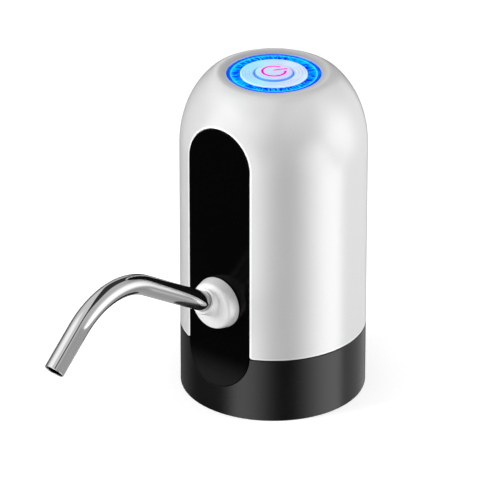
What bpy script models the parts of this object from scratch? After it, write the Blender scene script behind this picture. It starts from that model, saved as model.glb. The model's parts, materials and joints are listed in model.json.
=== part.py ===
"""Rechargeable pump that stands on the neck of a large water bottle.

Metres, +Z up, front towards -Y. Every piece hangs from one empty on the pump's
upright axis. The part's origin is under the middle of its bounding box.
"""
import math

import bmesh
import bpy
from mathutils import Vector

# Driving sizes. The body is built from the inside out: the pump, motor and cell
# side by side set its width, and what stands on the base sets its height.
WALL = 0.0020
GAP = 0.0003
OVERRUN = 0.0050
WELD = 0.00001

# Dome and top of the outer shell
DOME_HEIGHT = 0.0307
DOME_REACH_IN = 0.0260
CREASE_STEP = 0.0021
TOP_BEVEL_WIDTH = 0.0025
TOP_DISH = 0.0007
TOP_BEVEL_DROP = 0.00025
TOP_EDGE_THICKNESS = 0.0021

# Front panel
PANEL_RECESS = 0.0031
PANEL_HALF_WIDTH = 0.0150
PANEL_DROP = 0.0135
PANEL_THICKNESS = 0.0015
PANEL_BACKING = 0.0016
SCOOP_LIFT = 0.0001
SCOOP_RADIUS = 0.0376

# Water outlet and spout
PORT_LIFT = 0.0161
PIPE_RADIUS = 0.00405
PIPE_WALL = 0.0006
PIPE_ROOT_OUT = 0.00316
PIPE_RISE = math.radians(30.9)
PIPE_RISE_LENGTH = 0.0489
PIPE_BEND_RADIUS = 0.0350
PIPE_TURN = math.radians(71.2)
PIPE_DROP_LENGTH = 0.0186
COLLAR_RADIUS = 0.0106
COLLAR_THICKNESS = 0.0049
COLLAR_CROWN = 0.0014
COLLAR_EDGE = 0.0010
NOSE_WALL = 0.00115
NOSE_LENGTH = 0.0082
SPIGOT_RADIUS = 0.0050
SPIGOT_LENGTH = 0.0120
SPIGOT_WALL = 0.0024
RING_GROOVE_DEPTH = 0.0010
RING_GROOVE_WIDTH = 0.0018
RING_GROOVE_FROM_END = 0.0035
SOCKET_PLAY = 0.0005
SOCKET_WALL = 0.0017
SOCKET_FLANGE_WIDTH = 0.0028
SOCKET_FLANGE = 0.0020
SOCKET_FLOOR = 0.0013

# Bottle neck socket in the base
NECK_WALL = 0.0015
NECK_DEPTH = 0.0235
BASE_FLOOR = 0.0026
NECK_LIP = 0.0013
NECK_LIP_HEIGHT = 0.0025
BASE_CHAMFER = 0.0005
BASE_RIM = 0.0010
SPIGOT_LIP_HEIGHT = 0.0028
SPIGOT_LIP_WALL = 0.0016
SKIRT_WALL = 0.0023
SKIRT_GROOVE = 0.0028
SKIRT_ROOF_STEP = 0.0020
RIB_COUNT = 8
RIB_THICKNESS = 0.0014
GRIP_THICKNESS = 0.0029
GRIP_TO_FLOOR = 0.0042
GRIP_LIP = 0.0005
GRIP_LIP_COUNT = 3

# Hose nipple and tubes
NIPPLE_WALL = 0.0014
NIPPLE_BARB = 0.0005
NIPPLE_BARB_COUNT = 4
BARB_CREST_SHARE = 0.25
NIPPLE_BORE = 0.0026
NIPPLE_LENGTH = 0.0150
NIPPLE_FLANGE_WIDTH = 0.0030
NIPPLE_FLANGE = 0.0020
NIPPLE_NECK_STEP = 0.0010
GASKET_THICKNESS = 0.0012
TUBE_WALL = 0.0014
HOSE_BARB_WALL = 0.0014
HOSE_BARB_BORE = 0.0016
BARE_TUBE = 0.0020
OUTLET_BARB_LENGTH = 0.0062

# Pump and motor, about an upright axis behind the hose nipple
PUMP_BACK = 0.0060
PUMP_RIM = 0.0013
HEAD_HEIGHT = 0.0080
VALVE_PLATE = 0.0020
DIAPHRAGM_FLANGE = 0.0012
CUP_HEIGHT = 0.0034
CUP_RADIUS = 0.0030
CUP_TO_BORE = 0.0018
CUP_STEM_RADIUS = 0.0008
CUP_STEM = 0.0016
CUP_COUNT = 3
HOUSING_HEIGHT = 0.0210
HOUSING_WALL = 0.0037
HOUSING_ROOF = 0.0025
PUMP_SCREW_INSET = 0.0018
PUMP_SCREW_RADIUS = 0.0009
PUMP_SCREW_HEAD_RADIUS = 0.0017
PUMP_SCREW_HEAD = 0.0013
PUMP_SCREW_BITE = 0.0066
PUMP_SCREW_COUNT = 3
WOBBLE_TILT = math.radians(7.0)
WOBBLE_ROOM = 0.0023
WOBBLE_THICKNESS = 0.0014
WOBBLE_HUB_RADIUS = 0.0024
WOBBLE_HUB = 0.0036
WOBBLE_CLEARANCE = 0.0013
PIN_RADIUS = 0.00075
PIN_BITE = 0.0026
ECCENTRIC_RADIUS = 0.0042
ECCENTRIC_HEIGHT = 0.0062
ECCENTRIC_LIFT = 0.0042
SHAFT_RADIUS = 0.0010
SHAFT_BITE = 0.0022
MOTOR_RADIUS = 0.0122
MOTOR_LENGTH = 0.0280
MOTOR_SHEET = 0.0008
MOTOR_BOSS_RADIUS = 0.0031
MOTOR_BOSS = 0.0017
BUSH_RADIUS = 0.0023
BUSH_LENGTH = 0.0022
MAGNET_THICKNESS = 0.0020
MAGNET_TO_END = 0.0050
MAGNET_SPLIT = 0.0060
ROTOR_GAP = 0.0008
ARMATURE_TO_END = 0.0060
ARMATURE_SLOT = 0.0016
ARMATURE_SLOT_DEPTH = 0.0040
ARMATURE_POLES = 3
COMMUTATOR_RADIUS = 0.0026
COMMUTATOR_LENGTH = 0.0040
END_CAP = 0.0026
TERMINAL_WIDTH = 0.0024
TERMINAL_THICKNESS = 0.0005
TERMINAL_LENGTH = 0.0060
TERMINAL_INSET = 0.0047
MOUNT_SLEEVE_WALL = 0.0012
MOUNT_SLEEVE_HEIGHT = 0.0120
MOUNT_SLEEVE_LIFT = 0.0080

# Inner frame
FRAME_CLEARANCE = 0.0025
FRAME_FLOOR = 0.0020
FRAME_RING_WALL = 0.0014
FRAME_POST_WIDTH = 0.0050
FRAME_POST_DEPTH = 0.0026
FRAME_POST_ANGLES = (math.radians(180), math.radians(55), math.radians(305))
STANDOFF_RADIUS = 0.0034
FRAME_SCREW_INSET = 0.0107
FRAME_SCREW_RADIUS = 0.0013
FRAME_SCREW_HEAD_RADIUS = 0.0026
FRAME_SCREW_HEAD = 0.0018
FRAME_SCREW_COUNT = 3
SCREW_SLOT_LENGTH = 0.0031
SCREW_SLOT_WIDTH = 0.0007
SCREW_SLOT_DEPTH = 0.0006

# Battery cell
CELL_RADIUS = 0.0092
CELL_LENGTH = 0.0650
CELL_FORWARD = 0.0050
CELL_LAP = 0.0001
CELL_TO_SHELL = 0.0017855
CELL_NUB_RADIUS = 0.0030
CELL_NUB = 0.0012
CELL_CUP_HEIGHT = 0.0280
CELL_CUP_WALL = 0.0016

# Main board with its charging socket
BOARD_SET_IN = 0.0080
BOARD_THICKNESS = 0.0012
BOARD_WIDTH = 0.0300
BOARD_LENGTH = 0.0420
BOARD_RAIL_HEIGHT = 0.0270
BOARD_RAIL_WIDTH = 0.0033
BOARD_RAIL_DEPTH = 0.0042
BOARD_RAIL_GRIP = 0.0015
CHARGE_PORT_LIFT = 0.0115
CHARGE_PORT_WIDTH = 0.0078
CHARGE_PORT_THICKNESS = 0.0030
CHARGE_PORT_SHEET = 0.0004
CHARGE_PORT_DEPTH = 0.0050
CHARGE_PORT_SET_BACK = 0.0012
CHARGE_TONGUE = 0.0006
CHARGE_WINDOW_MARGIN = 0.0007
CHIP_SIZE = 0.0050
CHIP_THICKNESS = 0.0015
CHIP_LIFT = 0.0080

# Light ring, lens, button and their board
LIGHT_RING_WIDTH = 0.0049
LIGHT_RING_DROP = 0.0002
LIGHT_FLANGE_WIDTH = 0.0018
LIGHT_FLANGE = 0.0013
LENS_WIDTH = 0.0055
LENS_RISE = 0.0002
BUTTON_RADIUS = 0.0076
BUTTON_RISE = 0.0010
BUTTON_CROWN = 0.0004
BUTTON_HEIGHT = 0.0040
BUTTON_FLANGE_WIDTH = 0.0010
BUTTON_FLANGE = 0.0008
BUTTON_STEM_RADIUS = 0.0016
BUTTON_TRAVEL = 0.0006
CARRIER_WALL = 0.0014
CARRIER_FLOOR = 0.0014
CARRIER_DEPTH = 0.0068
CARRIER_EAR_STEP = 0.0004
CARRIER_EAR_RADIUS = 0.0024
CARRIER_EAR_THICKNESS = 0.0016
CARRIER_EAR_DROP = 0.0050
CARRIER_SCREW_COUNT = 3
CARRIER_SCREW_RADIUS = 0.0010
CARRIER_SCREW_HEAD_RADIUS = 0.0019
CARRIER_SCREW_HEAD = 0.0014
TOP_BOARD_THICKNESS = 0.0010
SWITCH_SIZE = 0.0060
SWITCH_HEIGHT = 0.0032
PLUNGER_RADIUS = 0.0017
PLUNGER_HEIGHT = 0.0014
TOP_ROOM = 0.0166
LED_COUNT = 3
LED_LENGTH = 0.0035
LED_WIDTH = 0.0028
LED_HEIGHT = 0.0019

# Wires
WIRE_RADIUS = 0.0007
WIRE_STUB = 0.0040
BATTERY_WIRE_CORNER = (0.0168, 0.0165)
BATTERY_WIRE_LANE = 0.0095
MOTOR_WIRE_LEFT_LANE = -0.0105
MOTOR_WIRE_RIGHT_LANE = 0.0020
BUTTON_CABLE_LANE = -0.0030

# Facet counts round a full turn
FINE = 44
ROUND = 24
SMALL = 14
TINY = 8
DOME_STEPS = 7
ARC_STEPS = 10
SCOOP_FACETS = 176
PIPE_ROUNDNESS = 6
PIPE_BORE_ROUNDNESS = 4
WIRE_ROUNDNESS = 1
WIRE_STEPS = 4
SMOOTH_ANGLE = math.radians(35)

# Solver for pieces whose many cuts meet in shared planes
MANY_CUTS = "MANIFOLD"

# Looks: colour, roughness and, for metals, metallic
WHITE_SHELL = ((0.86, 0.86, 0.87), 0.22)
WHITE_PLASTIC = ((0.80, 0.80, 0.80), 0.35)
BLACK_GLOSS = ((0.010, 0.010, 0.011), 0.06)
BLACK_SATIN = ((0.030, 0.030, 0.032), 0.4)
BLACK_RUBBER = ((0.030, 0.030, 0.032), 0.7)
STEEL = ((0.62, 0.61, 0.60), 0.3, 1.0)
BRIGHT_STEEL = ((0.62, 0.61, 0.60), 0.12, 1.0)
COPPER = ((0.75, 0.38, 0.20), 0.35, 1.0)
CLEAR_BLUE = ((0.02, 0.22, 0.85), 0.15)
PALE_LENS = ((0.70, 0.84, 0.95), 0.2)
MILKY = ((0.85, 0.88, 0.92), 0.4)
NATURAL = ((0.75, 0.75, 0.72), 0.5)
BOARD_GREEN = ((0.02, 0.20, 0.08), 0.4)
CELL_WRAP = ((0.05, 0.22, 0.55), 0.35)
MAGNET_GREY = ((0.08, 0.08, 0.09), 0.6)
WIRE_RED = ((0.55, 0.03, 0.03), 0.5)
WIRE_BLACK = ((0.03, 0.03, 0.03), 0.5)

# Derived sizes, from the base up
BASE_FLOOR_TOP = NECK_DEPTH + BASE_FLOOR
BASE_HEIGHT = BASE_FLOOR_TOP + BASE_RIM
SHELL_BOTTOM = BASE_HEIGHT + GAP
NIPPLE_RADIUS = NIPPLE_BORE + NIPPLE_WALL
NIPPLE_NECK_RADIUS = NIPPLE_RADIUS + NIPPLE_NECK_STEP
NIPPLE_FLANGE_RADIUS = NIPPLE_NECK_RADIUS + NIPPLE_FLANGE_WIDTH
NIPPLE_FLANGE_BOTTOM = BASE_FLOOR_TOP + GAP + GASKET_THICKNESS + GAP
NIPPLE_FLANGE_TOP = NIPPLE_FLANGE_BOTTOM + NIPPLE_FLANGE
FRAME_FLOOR_BOTTOM = NIPPLE_FLANGE_TOP + GAP
FRAME_FLOOR_TOP = FRAME_FLOOR_BOTTOM + FRAME_FLOOR
PORT_HEIGHT = FRAME_FLOOR_TOP + PORT_LIFT
HEAD_BOTTOM = PORT_HEIGHT - HEAD_HEIGHT / 2
HEAD_TOP = HEAD_BOTTOM + HEAD_HEIGHT
HOSE_BARB_RADIUS = HOSE_BARB_BORE + HOSE_BARB_WALL
HOSE_BARB_LENGTH = (HEAD_BOTTOM - NIPPLE_FLANGE_TOP - BARE_TUBE) / 2
VALVE_BOTTOM = HEAD_TOP + GAP
VALVE_TOP = VALVE_BOTTOM + VALVE_PLATE
DIAPHRAGM_BOTTOM = VALVE_TOP + GAP
DIAPHRAGM_TOP = DIAPHRAGM_BOTTOM + DIAPHRAGM_FLANGE
CUP_TOP = DIAPHRAGM_TOP + CUP_HEIGHT
HOUSING_BOTTOM = DIAPHRAGM_TOP + GAP
HOUSING_TOP = HOUSING_BOTTOM + HOUSING_HEIGHT
PUMP_SCREW_BOTTOM = HEAD_BOTTOM - GAP
PUMP_SCREW_TOP = HOUSING_BOTTOM + PUMP_SCREW_BITE
WOBBLE_CENTRE = CUP_TOP + CUP_STEM + WOBBLE_CLEARANCE
ECCENTRIC_BOTTOM = WOBBLE_CENTRE + ECCENTRIC_LIFT
ECCENTRIC_TOP = ECCENTRIC_BOTTOM + ECCENTRIC_HEIGHT
PIN_LENGTH = ECCENTRIC_LIFT + PIN_BITE
MOTOR_BOTTOM = HOUSING_TOP + GAP
MOTOR_TOP = MOTOR_BOTTOM + MOTOR_LENGTH
END_CAP_BOTTOM = MOTOR_TOP + GAP
END_CAP_TOP = END_CAP_BOTTOM + END_CAP
MAGNET_BOTTOM = MOTOR_BOTTOM + MAGNET_TO_END
MAGNET_TOP = MOTOR_TOP - MAGNET_TO_END
ARMATURE_BOTTOM = MOTOR_BOTTOM + ARMATURE_TO_END
ARMATURE_TOP = MOTOR_TOP - ARMATURE_TO_END
SLEEVE_BOTTOM = MOTOR_BOTTOM + MOUNT_SLEEVE_LIFT
CELL_BOTTOM = FRAME_FLOOR_TOP + GAP
CELL_TOP = CELL_BOTTOM + CELL_LENGTH
BOARD_BOTTOM = FRAME_FLOOR_TOP + GAP
BOARD_TOP = BOARD_BOTTOM + BOARD_LENGTH
CHARGE_PORT_HEIGHT = BOARD_BOTTOM + CHARGE_PORT_LIFT
CARRIER_BOTTOM = max(END_CAP_TOP, CELL_TOP) + TOP_ROOM
CARRIER_TOP = CARRIER_BOTTOM + CARRIER_DEPTH
CARRIER_FLOOR_TOP = CARRIER_BOTTOM + CARRIER_FLOOR
LIGHT_FLANGE_BOTTOM = CARRIER_TOP + GAP
LIGHT_FLANGE_TOP = LIGHT_FLANGE_BOTTOM + LIGHT_FLANGE
TOP_UNDERSIDE = LIGHT_FLANGE_TOP + GAP
TOP_OPENING_HEIGHT = TOP_UNDERSIDE + TOP_EDGE_THICKNESS
BODY_HEIGHT = TOP_OPENING_HEIGHT + TOP_DISH
LIGHT_RING_TOP = TOP_OPENING_HEIGHT - LIGHT_RING_DROP
LENS_TOP = LIGHT_RING_TOP + LENS_RISE
BUTTON_TOP = LENS_TOP + BUTTON_RISE
BUTTON_BOTTOM = BUTTON_TOP - BUTTON_HEIGHT
BUTTON_FLANGE_TOP = BUTTON_BOTTOM + BUTTON_FLANGE
LENS_BOTTOM = BUTTON_FLANGE_TOP + GAP
TOP_BOARD_BOTTOM = CARRIER_FLOOR_TOP + GAP
TOP_BOARD_TOP = TOP_BOARD_BOTTOM + TOP_BOARD_THICKNESS
SWITCH_BOTTOM = TOP_BOARD_TOP + GAP
SWITCH_TOP = SWITCH_BOTTOM + SWITCH_HEIGHT
PLUNGER_BOTTOM = SWITCH_TOP - PLUNGER_HEIGHT / 2
PLUNGER_TOP = PLUNGER_BOTTOM + PLUNGER_HEIGHT
DOME_START = BODY_HEIGHT - DOME_HEIGHT
PANEL_TOP = BODY_HEIGHT - PANEL_DROP
SCOOP_START = BASE_HEIGHT + SCOOP_LIFT

# Derived sizes, from the middle out
PUMP_RADIUS = MOTOR_RADIUS + PUMP_RIM
HOUSING_BORE = PUMP_RADIUS - HOUSING_WALL
PUMP_SCREW_CIRCLE = PUMP_RADIUS - PUMP_SCREW_INSET
CUP_CIRCLE = HOUSING_BORE - CUP_TO_BORE - CUP_RADIUS
WOBBLE_RADIUS = HOUSING_BORE - WOBBLE_ROOM
MAGNET_OUTER = MOTOR_RADIUS - MOTOR_SHEET - GAP
ARMATURE_RADIUS = MAGNET_OUTER - MAGNET_THICKNESS - ROTOR_GAP
TERMINAL_SPREAD = MOTOR_RADIUS - TERMINAL_INSET
SLEEVE_INNER = MOTOR_RADIUS + GAP
SLEEVE_OUTER = SLEEVE_INNER + MOUNT_SLEEVE_WALL
FRAME_RING_INNER = SLEEVE_OUTER + GAP
FRAME_RING_OUTER = FRAME_RING_INNER + FRAME_RING_WALL
CELL_CUP_INNER = CELL_RADIUS + GAP
CELL_CUP_OUTER = CELL_CUP_INNER + CELL_CUP_WALL
CELL_SIDE = math.sqrt(
    (FRAME_RING_OUTER + CELL_CUP_OUTER - CELL_LAP) ** 2 - (PUMP_BACK + CELL_FORWARD) ** 2
)
SHELL_INNER_RADIUS = math.hypot(CELL_SIDE, CELL_FORWARD) + CELL_RADIUS + CELL_TO_SHELL
BODY_RADIUS = SHELL_INNER_RADIUS + WALL
NECK_BORE_RADIUS = BODY_RADIUS - SKIRT_WALL - SKIRT_GROOVE - NECK_WALL
GRIP_RADIUS = NECK_BORE_RADIUS - GAP - GRIP_THICKNESS
FRAME_RADIUS = SHELL_INNER_RADIUS - FRAME_CLEARANCE
FRAME_SCREW_CIRCLE = GRIP_RADIUS - FRAME_SCREW_INSET
BOARD_BACK = SHELL_INNER_RADIUS - BOARD_SET_IN
BOARD_REAR = BOARD_BACK + BOARD_THICKNESS
LENS_BORE = BUTTON_RADIUS + GAP
LENS_RADIUS = LENS_BORE + LENS_WIDTH
LIGHT_RING_RADIUS = LENS_RADIUS + GAP + LIGHT_RING_WIDTH
LIGHT_FLANGE_RADIUS = LIGHT_RING_RADIUS + LIGHT_FLANGE_WIDTH
BUTTON_FLANGE_RADIUS = BUTTON_RADIUS + BUTTON_FLANGE_WIDTH
CARRIER_RADIUS = LIGHT_RING_RADIUS - GAP
CARRIER_EAR_CIRCLE = LIGHT_FLANGE_RADIUS + CARRIER_EAR_STEP + CARRIER_EAR_RADIUS
TOP_OPENING_RADIUS = LIGHT_RING_RADIUS + GAP
TOP_BEVEL_RADIUS = TOP_OPENING_RADIUS + TOP_BEVEL_WIDTH
CREASE_RADIUS = TOP_BEVEL_RADIUS + CREASE_STEP
DOME_CENTRE_RADIUS = BODY_RADIUS - DOME_REACH_IN
CREASE_ANGLE = math.acos((CREASE_RADIUS - DOME_CENTRE_RADIUS) / DOME_REACH_IN)
DOME_RISE = DOME_HEIGHT / math.sin(CREASE_ANGLE)

# Derived sizes, towards the front
PANEL_FORWARD = BODY_RADIUS - PANEL_RECESS
PANEL_BACK = PANEL_FORWARD - PANEL_THICKNESS
POCKET_FLOOR = PANEL_BACK - GAP
SLAB_BACK = POCKET_FLOOR - PANEL_BACKING
SCOOP_BOTTOM = SCOOP_START - math.sqrt(SCOOP_RADIUS**2 - (SCOOP_RADIUS - PANEL_RECESS) ** 2)
COLLAR_BACK = PANEL_FORWARD + GAP
SPIGOT_END = COLLAR_BACK - SPIGOT_LENGTH
SPIGOT_BORE = SPIGOT_RADIUS - SPIGOT_WALL
SOCKET_BORE_RADIUS = SPIGOT_RADIUS + SOCKET_PLAY
SOCKET_RADIUS = SOCKET_BORE_RADIUS + SOCKET_WALL
SOCKET_FLANGE_RADIUS = SOCKET_RADIUS + SOCKET_FLANGE_WIDTH
PORT_HOLE_RADIUS = SOCKET_RADIUS + GAP
NOSE_RADIUS = PIPE_RADIUS + NOSE_WALL
PIPE_ROOT_FORWARD = PANEL_FORWARD + PIPE_ROOT_OUT
PIPE_END_REACH = (
    PIPE_ROOT_FORWARD
    + PIPE_RISE_LENGTH * math.cos(PIPE_RISE)
    + PIPE_BEND_RADIUS * (math.sin(PIPE_RISE) + math.sin(PIPE_TURN - PIPE_RISE))
    + PIPE_DROP_LENGTH * math.cos(PIPE_TURN - PIPE_RISE)
)
PIPE_REACH = PIPE_END_REACH + PIPE_RADIUS * math.sin(PIPE_TURN - PIPE_RISE)
AXIS_Y = (PIPE_REACH - BODY_RADIUS) / 2


def collection(name):
    made = bpy.data.collections.new(name)
    bpy.context.scene.collection.children.link(made)
    return made


for old in list(bpy.data.objects):
    bpy.data.objects.remove(old, do_unlink=True)

PARTS = collection("bottled_water_pump")
CUTTERS = collection("cutters")

AXIS = bpy.data.objects.new("pump_axis", None)
AXIS.location = (0, AXIS_Y, 0)
PARTS.objects.link(AXIS)


def material(name, colour, roughness, metallic=0.0):
    """One plain Principled material."""
    made = bpy.data.materials.new(name)
    made.use_nodes = True
    shader = made.node_tree.nodes["Principled BSDF"]
    shader.inputs["Base Color"].default_value = (*colour, 1.0)
    shader.inputs["Roughness"].default_value = roughness
    shader.inputs["Metallic"].default_value = metallic
    return made


def adopt(obj, place=(0, 0, 0), turn=(0, 0, 0), is_cutter=False):
    """Hang an object from the pump's axis, in its own collection."""
    for owner in list(obj.users_collection):
        owner.objects.unlink(obj)
    (CUTTERS if is_cutter else PARTS).objects.link(obj)
    obj.parent = AXIS
    obj.location = place
    obj.rotation_euler = turn
    if is_cutter:
        obj.hide_render = True
        obj.display_type = "WIRE"
    return obj


def finish(obj, name, look):
    """Name a piece, give it its material and smooth its round faces."""
    obj.name = name
    obj.data.name = name
    obj.data.materials.clear()
    obj.data.materials.append(material(name, *look))
    if obj.type == "MESH":
        obj.data.shade_smooth()
        obj.data.set_sharp_from_angle(angle=SMOOTH_ANGLE)
    return obj


TO_FRONT = (math.pi / 2, 0, 0)
ALONG_PIPE = (math.pi / 2 - PIPE_RISE, 0, 0)


def turned(profile, facets, place=(0, 0, 0), turn=(0, 0, 0), is_cutter=False):
    """Turn a closed profile of (radius, height) points about the local Z axis.

    The points run down the outer side first. Points on the axis are the poles
    of a solid piece.
    """
    mesh = bpy.data.meshes.new("turned")
    build = bmesh.new()
    points = [build.verts.new((radius, 0, height)) for radius, height in profile]
    for first, second in zip(points, points[1:]):
        build.edges.new((first, second))
    if profile[0][0] > 0 or profile[-1][0] > 0:
        build.edges.new((points[-1], points[0]))
    build.to_mesh(mesh)
    build.free()
    obj = bpy.data.objects.new("turned", mesh)
    PARTS.objects.link(obj)
    screw = obj.modifiers.new("turn", "SCREW")
    screw.axis = "Z"
    screw.angle = math.tau
    screw.steps = facets
    screw.render_steps = facets
    screw.use_merge_vertices = True
    screw.merge_threshold = WELD
    screw.use_normal_calculate = False
    return adopt(obj, place, turn, is_cutter)


def upright(profile, x=0, y=0):
    """Small round cutter on an upright line."""
    return turned(profile, TINY, (x, y, 0), is_cutter=True)


def disc(radius, bottom, top):
    """Profile of a plain solid cylinder."""
    return [(0, top), (radius, top), (radius, bottom), (0, bottom)]


def ring(inner, outer, bottom, top):
    """Profile of a plain ring."""
    return [(inner, top), (outer, top), (outer, bottom), (inner, bottom)]


def block(low, high, turn=(0, 0, 0), place=(0, 0, 0), is_cutter=False):
    """Box between two corners given about its place."""
    bpy.ops.mesh.primitive_cube_add(size=1)
    obj = bpy.context.object
    size = Vector(high) - Vector(low)
    middle = (Vector(high) + Vector(low)) / 2
    for corner in obj.data.vertices:
        corner.co = Vector(a * b for a, b in zip(corner.co, size)) + middle
    return adopt(obj, place, turn, is_cutter)


def boolean(target, other, operation, solver):
    step = target.modifiers.new(operation.lower(), "BOOLEAN")
    step.operation = operation
    step.solver = solver
    step.object = other
    return target


def cut(target, *others, solver="EXACT"):
    for other in others:
        boolean(target, other, "DIFFERENCE", solver)
    return target


def join(target, *others, solver="EXACT"):
    for other in others:
        boolean(target, other, "UNION", solver)
    return target


def outline(points, half_depth, place, turn, is_cutter=False):
    """Flat closed outline drawn as a 2D curve and extruded both ways."""
    data = bpy.data.curves.new("outline", "CURVE")
    data.dimensions = "2D"
    data.fill_mode = "BOTH"
    data.extrude = half_depth
    spline = data.splines.new("POLY")
    spline.points.add(len(points) - 1)
    for point, (x, y) in zip(spline.points, points):
        point.co = (x, y, 0, 1)
    spline.use_cyclic_u = True
    obj = bpy.data.objects.new("outline", data)
    PARTS.objects.link(obj)
    return as_mesh(obj, place, turn, is_cutter)


def swept(points, radius, roundness, place=(0, 0, 0)):
    """Round tube along a list of points."""
    data = bpy.data.curves.new("swept", "CURVE")
    data.dimensions = "3D"
    data.bevel_depth = radius
    data.bevel_resolution = roundness
    data.use_fill_caps = True
    spline = data.splines.new("POLY")
    spline.points.add(len(points) - 1)
    for point, place_on in zip(spline.points, points):
        point.co = (*place_on, 1)
    obj = bpy.data.objects.new("swept", data)
    PARTS.objects.link(obj)
    return adopt(obj, place)


def as_mesh(curve, place, turn=(0, 0, 0), is_cutter=False):
    """Swap a curve for the closed mesh that it evaluates to."""
    graph = bpy.context.evaluated_depsgraph_get()
    mesh = bpy.data.meshes.new_from_object(curve.evaluated_get(graph))
    build = bmesh.new()
    build.from_mesh(mesh)
    bmesh.ops.remove_doubles(build, verts=build.verts, dist=WELD)
    bmesh.ops.recalc_face_normals(build, faces=build.faces)
    build.to_mesh(mesh)
    build.free()
    obj = bpy.data.objects.new("meshed", mesh)
    PARTS.objects.link(obj)
    bpy.data.objects.remove(curve, do_unlink=True)
    return adopt(obj, place, turn, is_cutter)


def arc(centre, reach, rise, start, end, steps):
    """Points (radius, height) on an elliptical arc between two angles."""
    angles = [start + (end - start) * k / steps for k in range(steps + 1)]
    return [
        (centre[0] + reach * math.cos(a), centre[1] + rise * math.sin(a)) for a in angles
    ]


def around(count, circle, start=0.0, centre=(0, 0)):
    """Evenly spaced points (angle, x, y) on a circle."""
    angles = [start + math.tau * k / count for k in range(count)]
    return [
        (a, centre[0] + circle * math.cos(a), centre[1] + circle * math.sin(a)) for a in angles
    ]


def arch(half_width, top, bottom):
    """Stadium outline (x, z) with a round top and a round bottom."""
    upper = arc((0, top - half_width), half_width, half_width, 0, math.pi, ARC_STEPS)
    lower = arc((0, bottom + half_width), half_width, half_width, math.pi, math.tau, ARC_STEPS)
    return upper + lower


def arch_prism(half_width, top, bottom, back, front, is_cutter=False):
    return outline(
        arch(half_width, top, bottom),
        (front - back) / 2,
        (0, -(front + back) / 2, 0),
        TO_FRONT,
        is_cutter,
    )


def make_outer_shell():
    dome_centre = (DOME_CENTRE_RADIUS, DOME_START)
    outside = [(0, TOP_OPENING_HEIGHT), (TOP_OPENING_RADIUS, TOP_OPENING_HEIGHT)]
    outside += [(TOP_BEVEL_RADIUS, BODY_HEIGHT - TOP_BEVEL_DROP)]
    outside += arc(dome_centre, DOME_REACH_IN, DOME_RISE, CREASE_ANGLE, 0, DOME_STEPS)
    outside += [(BODY_RADIUS, SHELL_BOTTOM), (0, SHELL_BOTTOM)]
    shell = turned(outside, FINE)
    reach = DOME_REACH_IN - WALL
    rise = DOME_RISE - WALL
    inner_angle = math.asin((TOP_UNDERSIDE - DOME_START) / rise)
    inside = [(0, BODY_HEIGHT + OVERRUN), (TOP_OPENING_RADIUS, BODY_HEIGHT + OVERRUN)]
    inside += [(TOP_OPENING_RADIUS, TOP_UNDERSIDE)]
    inside += arc(dome_centre, reach, rise, inner_angle, 0, DOME_STEPS)
    inside += [(SHELL_INNER_RADIUS, SHELL_BOTTOM - OVERRUN), (0, SHELL_BOTTOM - OVERRUN)]
    hollow = turned(inside, FINE, is_cutter=True)
    front_slab = block(
        (-BODY_RADIUS, -BODY_RADIUS - OVERRUN, -OVERRUN),
        (BODY_RADIUS, -SLAB_BACK, BODY_HEIGHT + OVERRUN * 2),
        is_cutter=True,
    )
    cut(hollow, front_slab)
    pocket = arch_prism(
        PANEL_HALF_WIDTH + GAP,
        PANEL_TOP + GAP,
        SCOOP_BOTTOM - GAP,
        POCKET_FLOOR,
        BODY_RADIUS + OVERRUN,
        is_cutter=True,
    )
    port = turned(disc(PORT_HOLE_RADIUS, 0, BODY_RADIUS), SMALL, (0, 0, PORT_HEIGHT), TO_FRONT, True)
    half_width = CHARGE_PORT_WIDTH / 2 + CHARGE_WINDOW_MARGIN
    half_height = CHARGE_PORT_THICKNESS / 2 + CHARGE_WINDOW_MARGIN
    window = block(
        (-half_width, BOARD_REAR, CHARGE_PORT_HEIGHT - half_height),
        (half_width, BODY_RADIUS + OVERRUN, CHARGE_PORT_HEIGHT + half_height),
        is_cutter=True,
    )
    cut(shell, hollow, pocket, port, window, solver=MANY_CUTS)
    foot = CARRIER_TOP - CARRIER_EAR_DROP + CARRIER_EAR_THICKNESS + GAP
    hole_radius = CARRIER_SCREW_RADIUS + GAP
    for _, x, y in around(CARRIER_SCREW_COUNT, CARRIER_EAR_CIRCLE, math.pi / 2):
        boss = upright(disc(CARRIER_EAR_RADIUS, foot, TOP_UNDERSIDE + WALL / 4), x, y)
        hole = upright(disc(hole_radius, foot - OVERRUN, TOP_UNDERSIDE - WALL), x, y)
        join(shell, boss, solver=MANY_CUTS)
        cut(shell, hole, solver=MANY_CUTS)
    finish(shell, "outer_shell", WHITE_SHELL)
    return pocket, port


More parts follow.
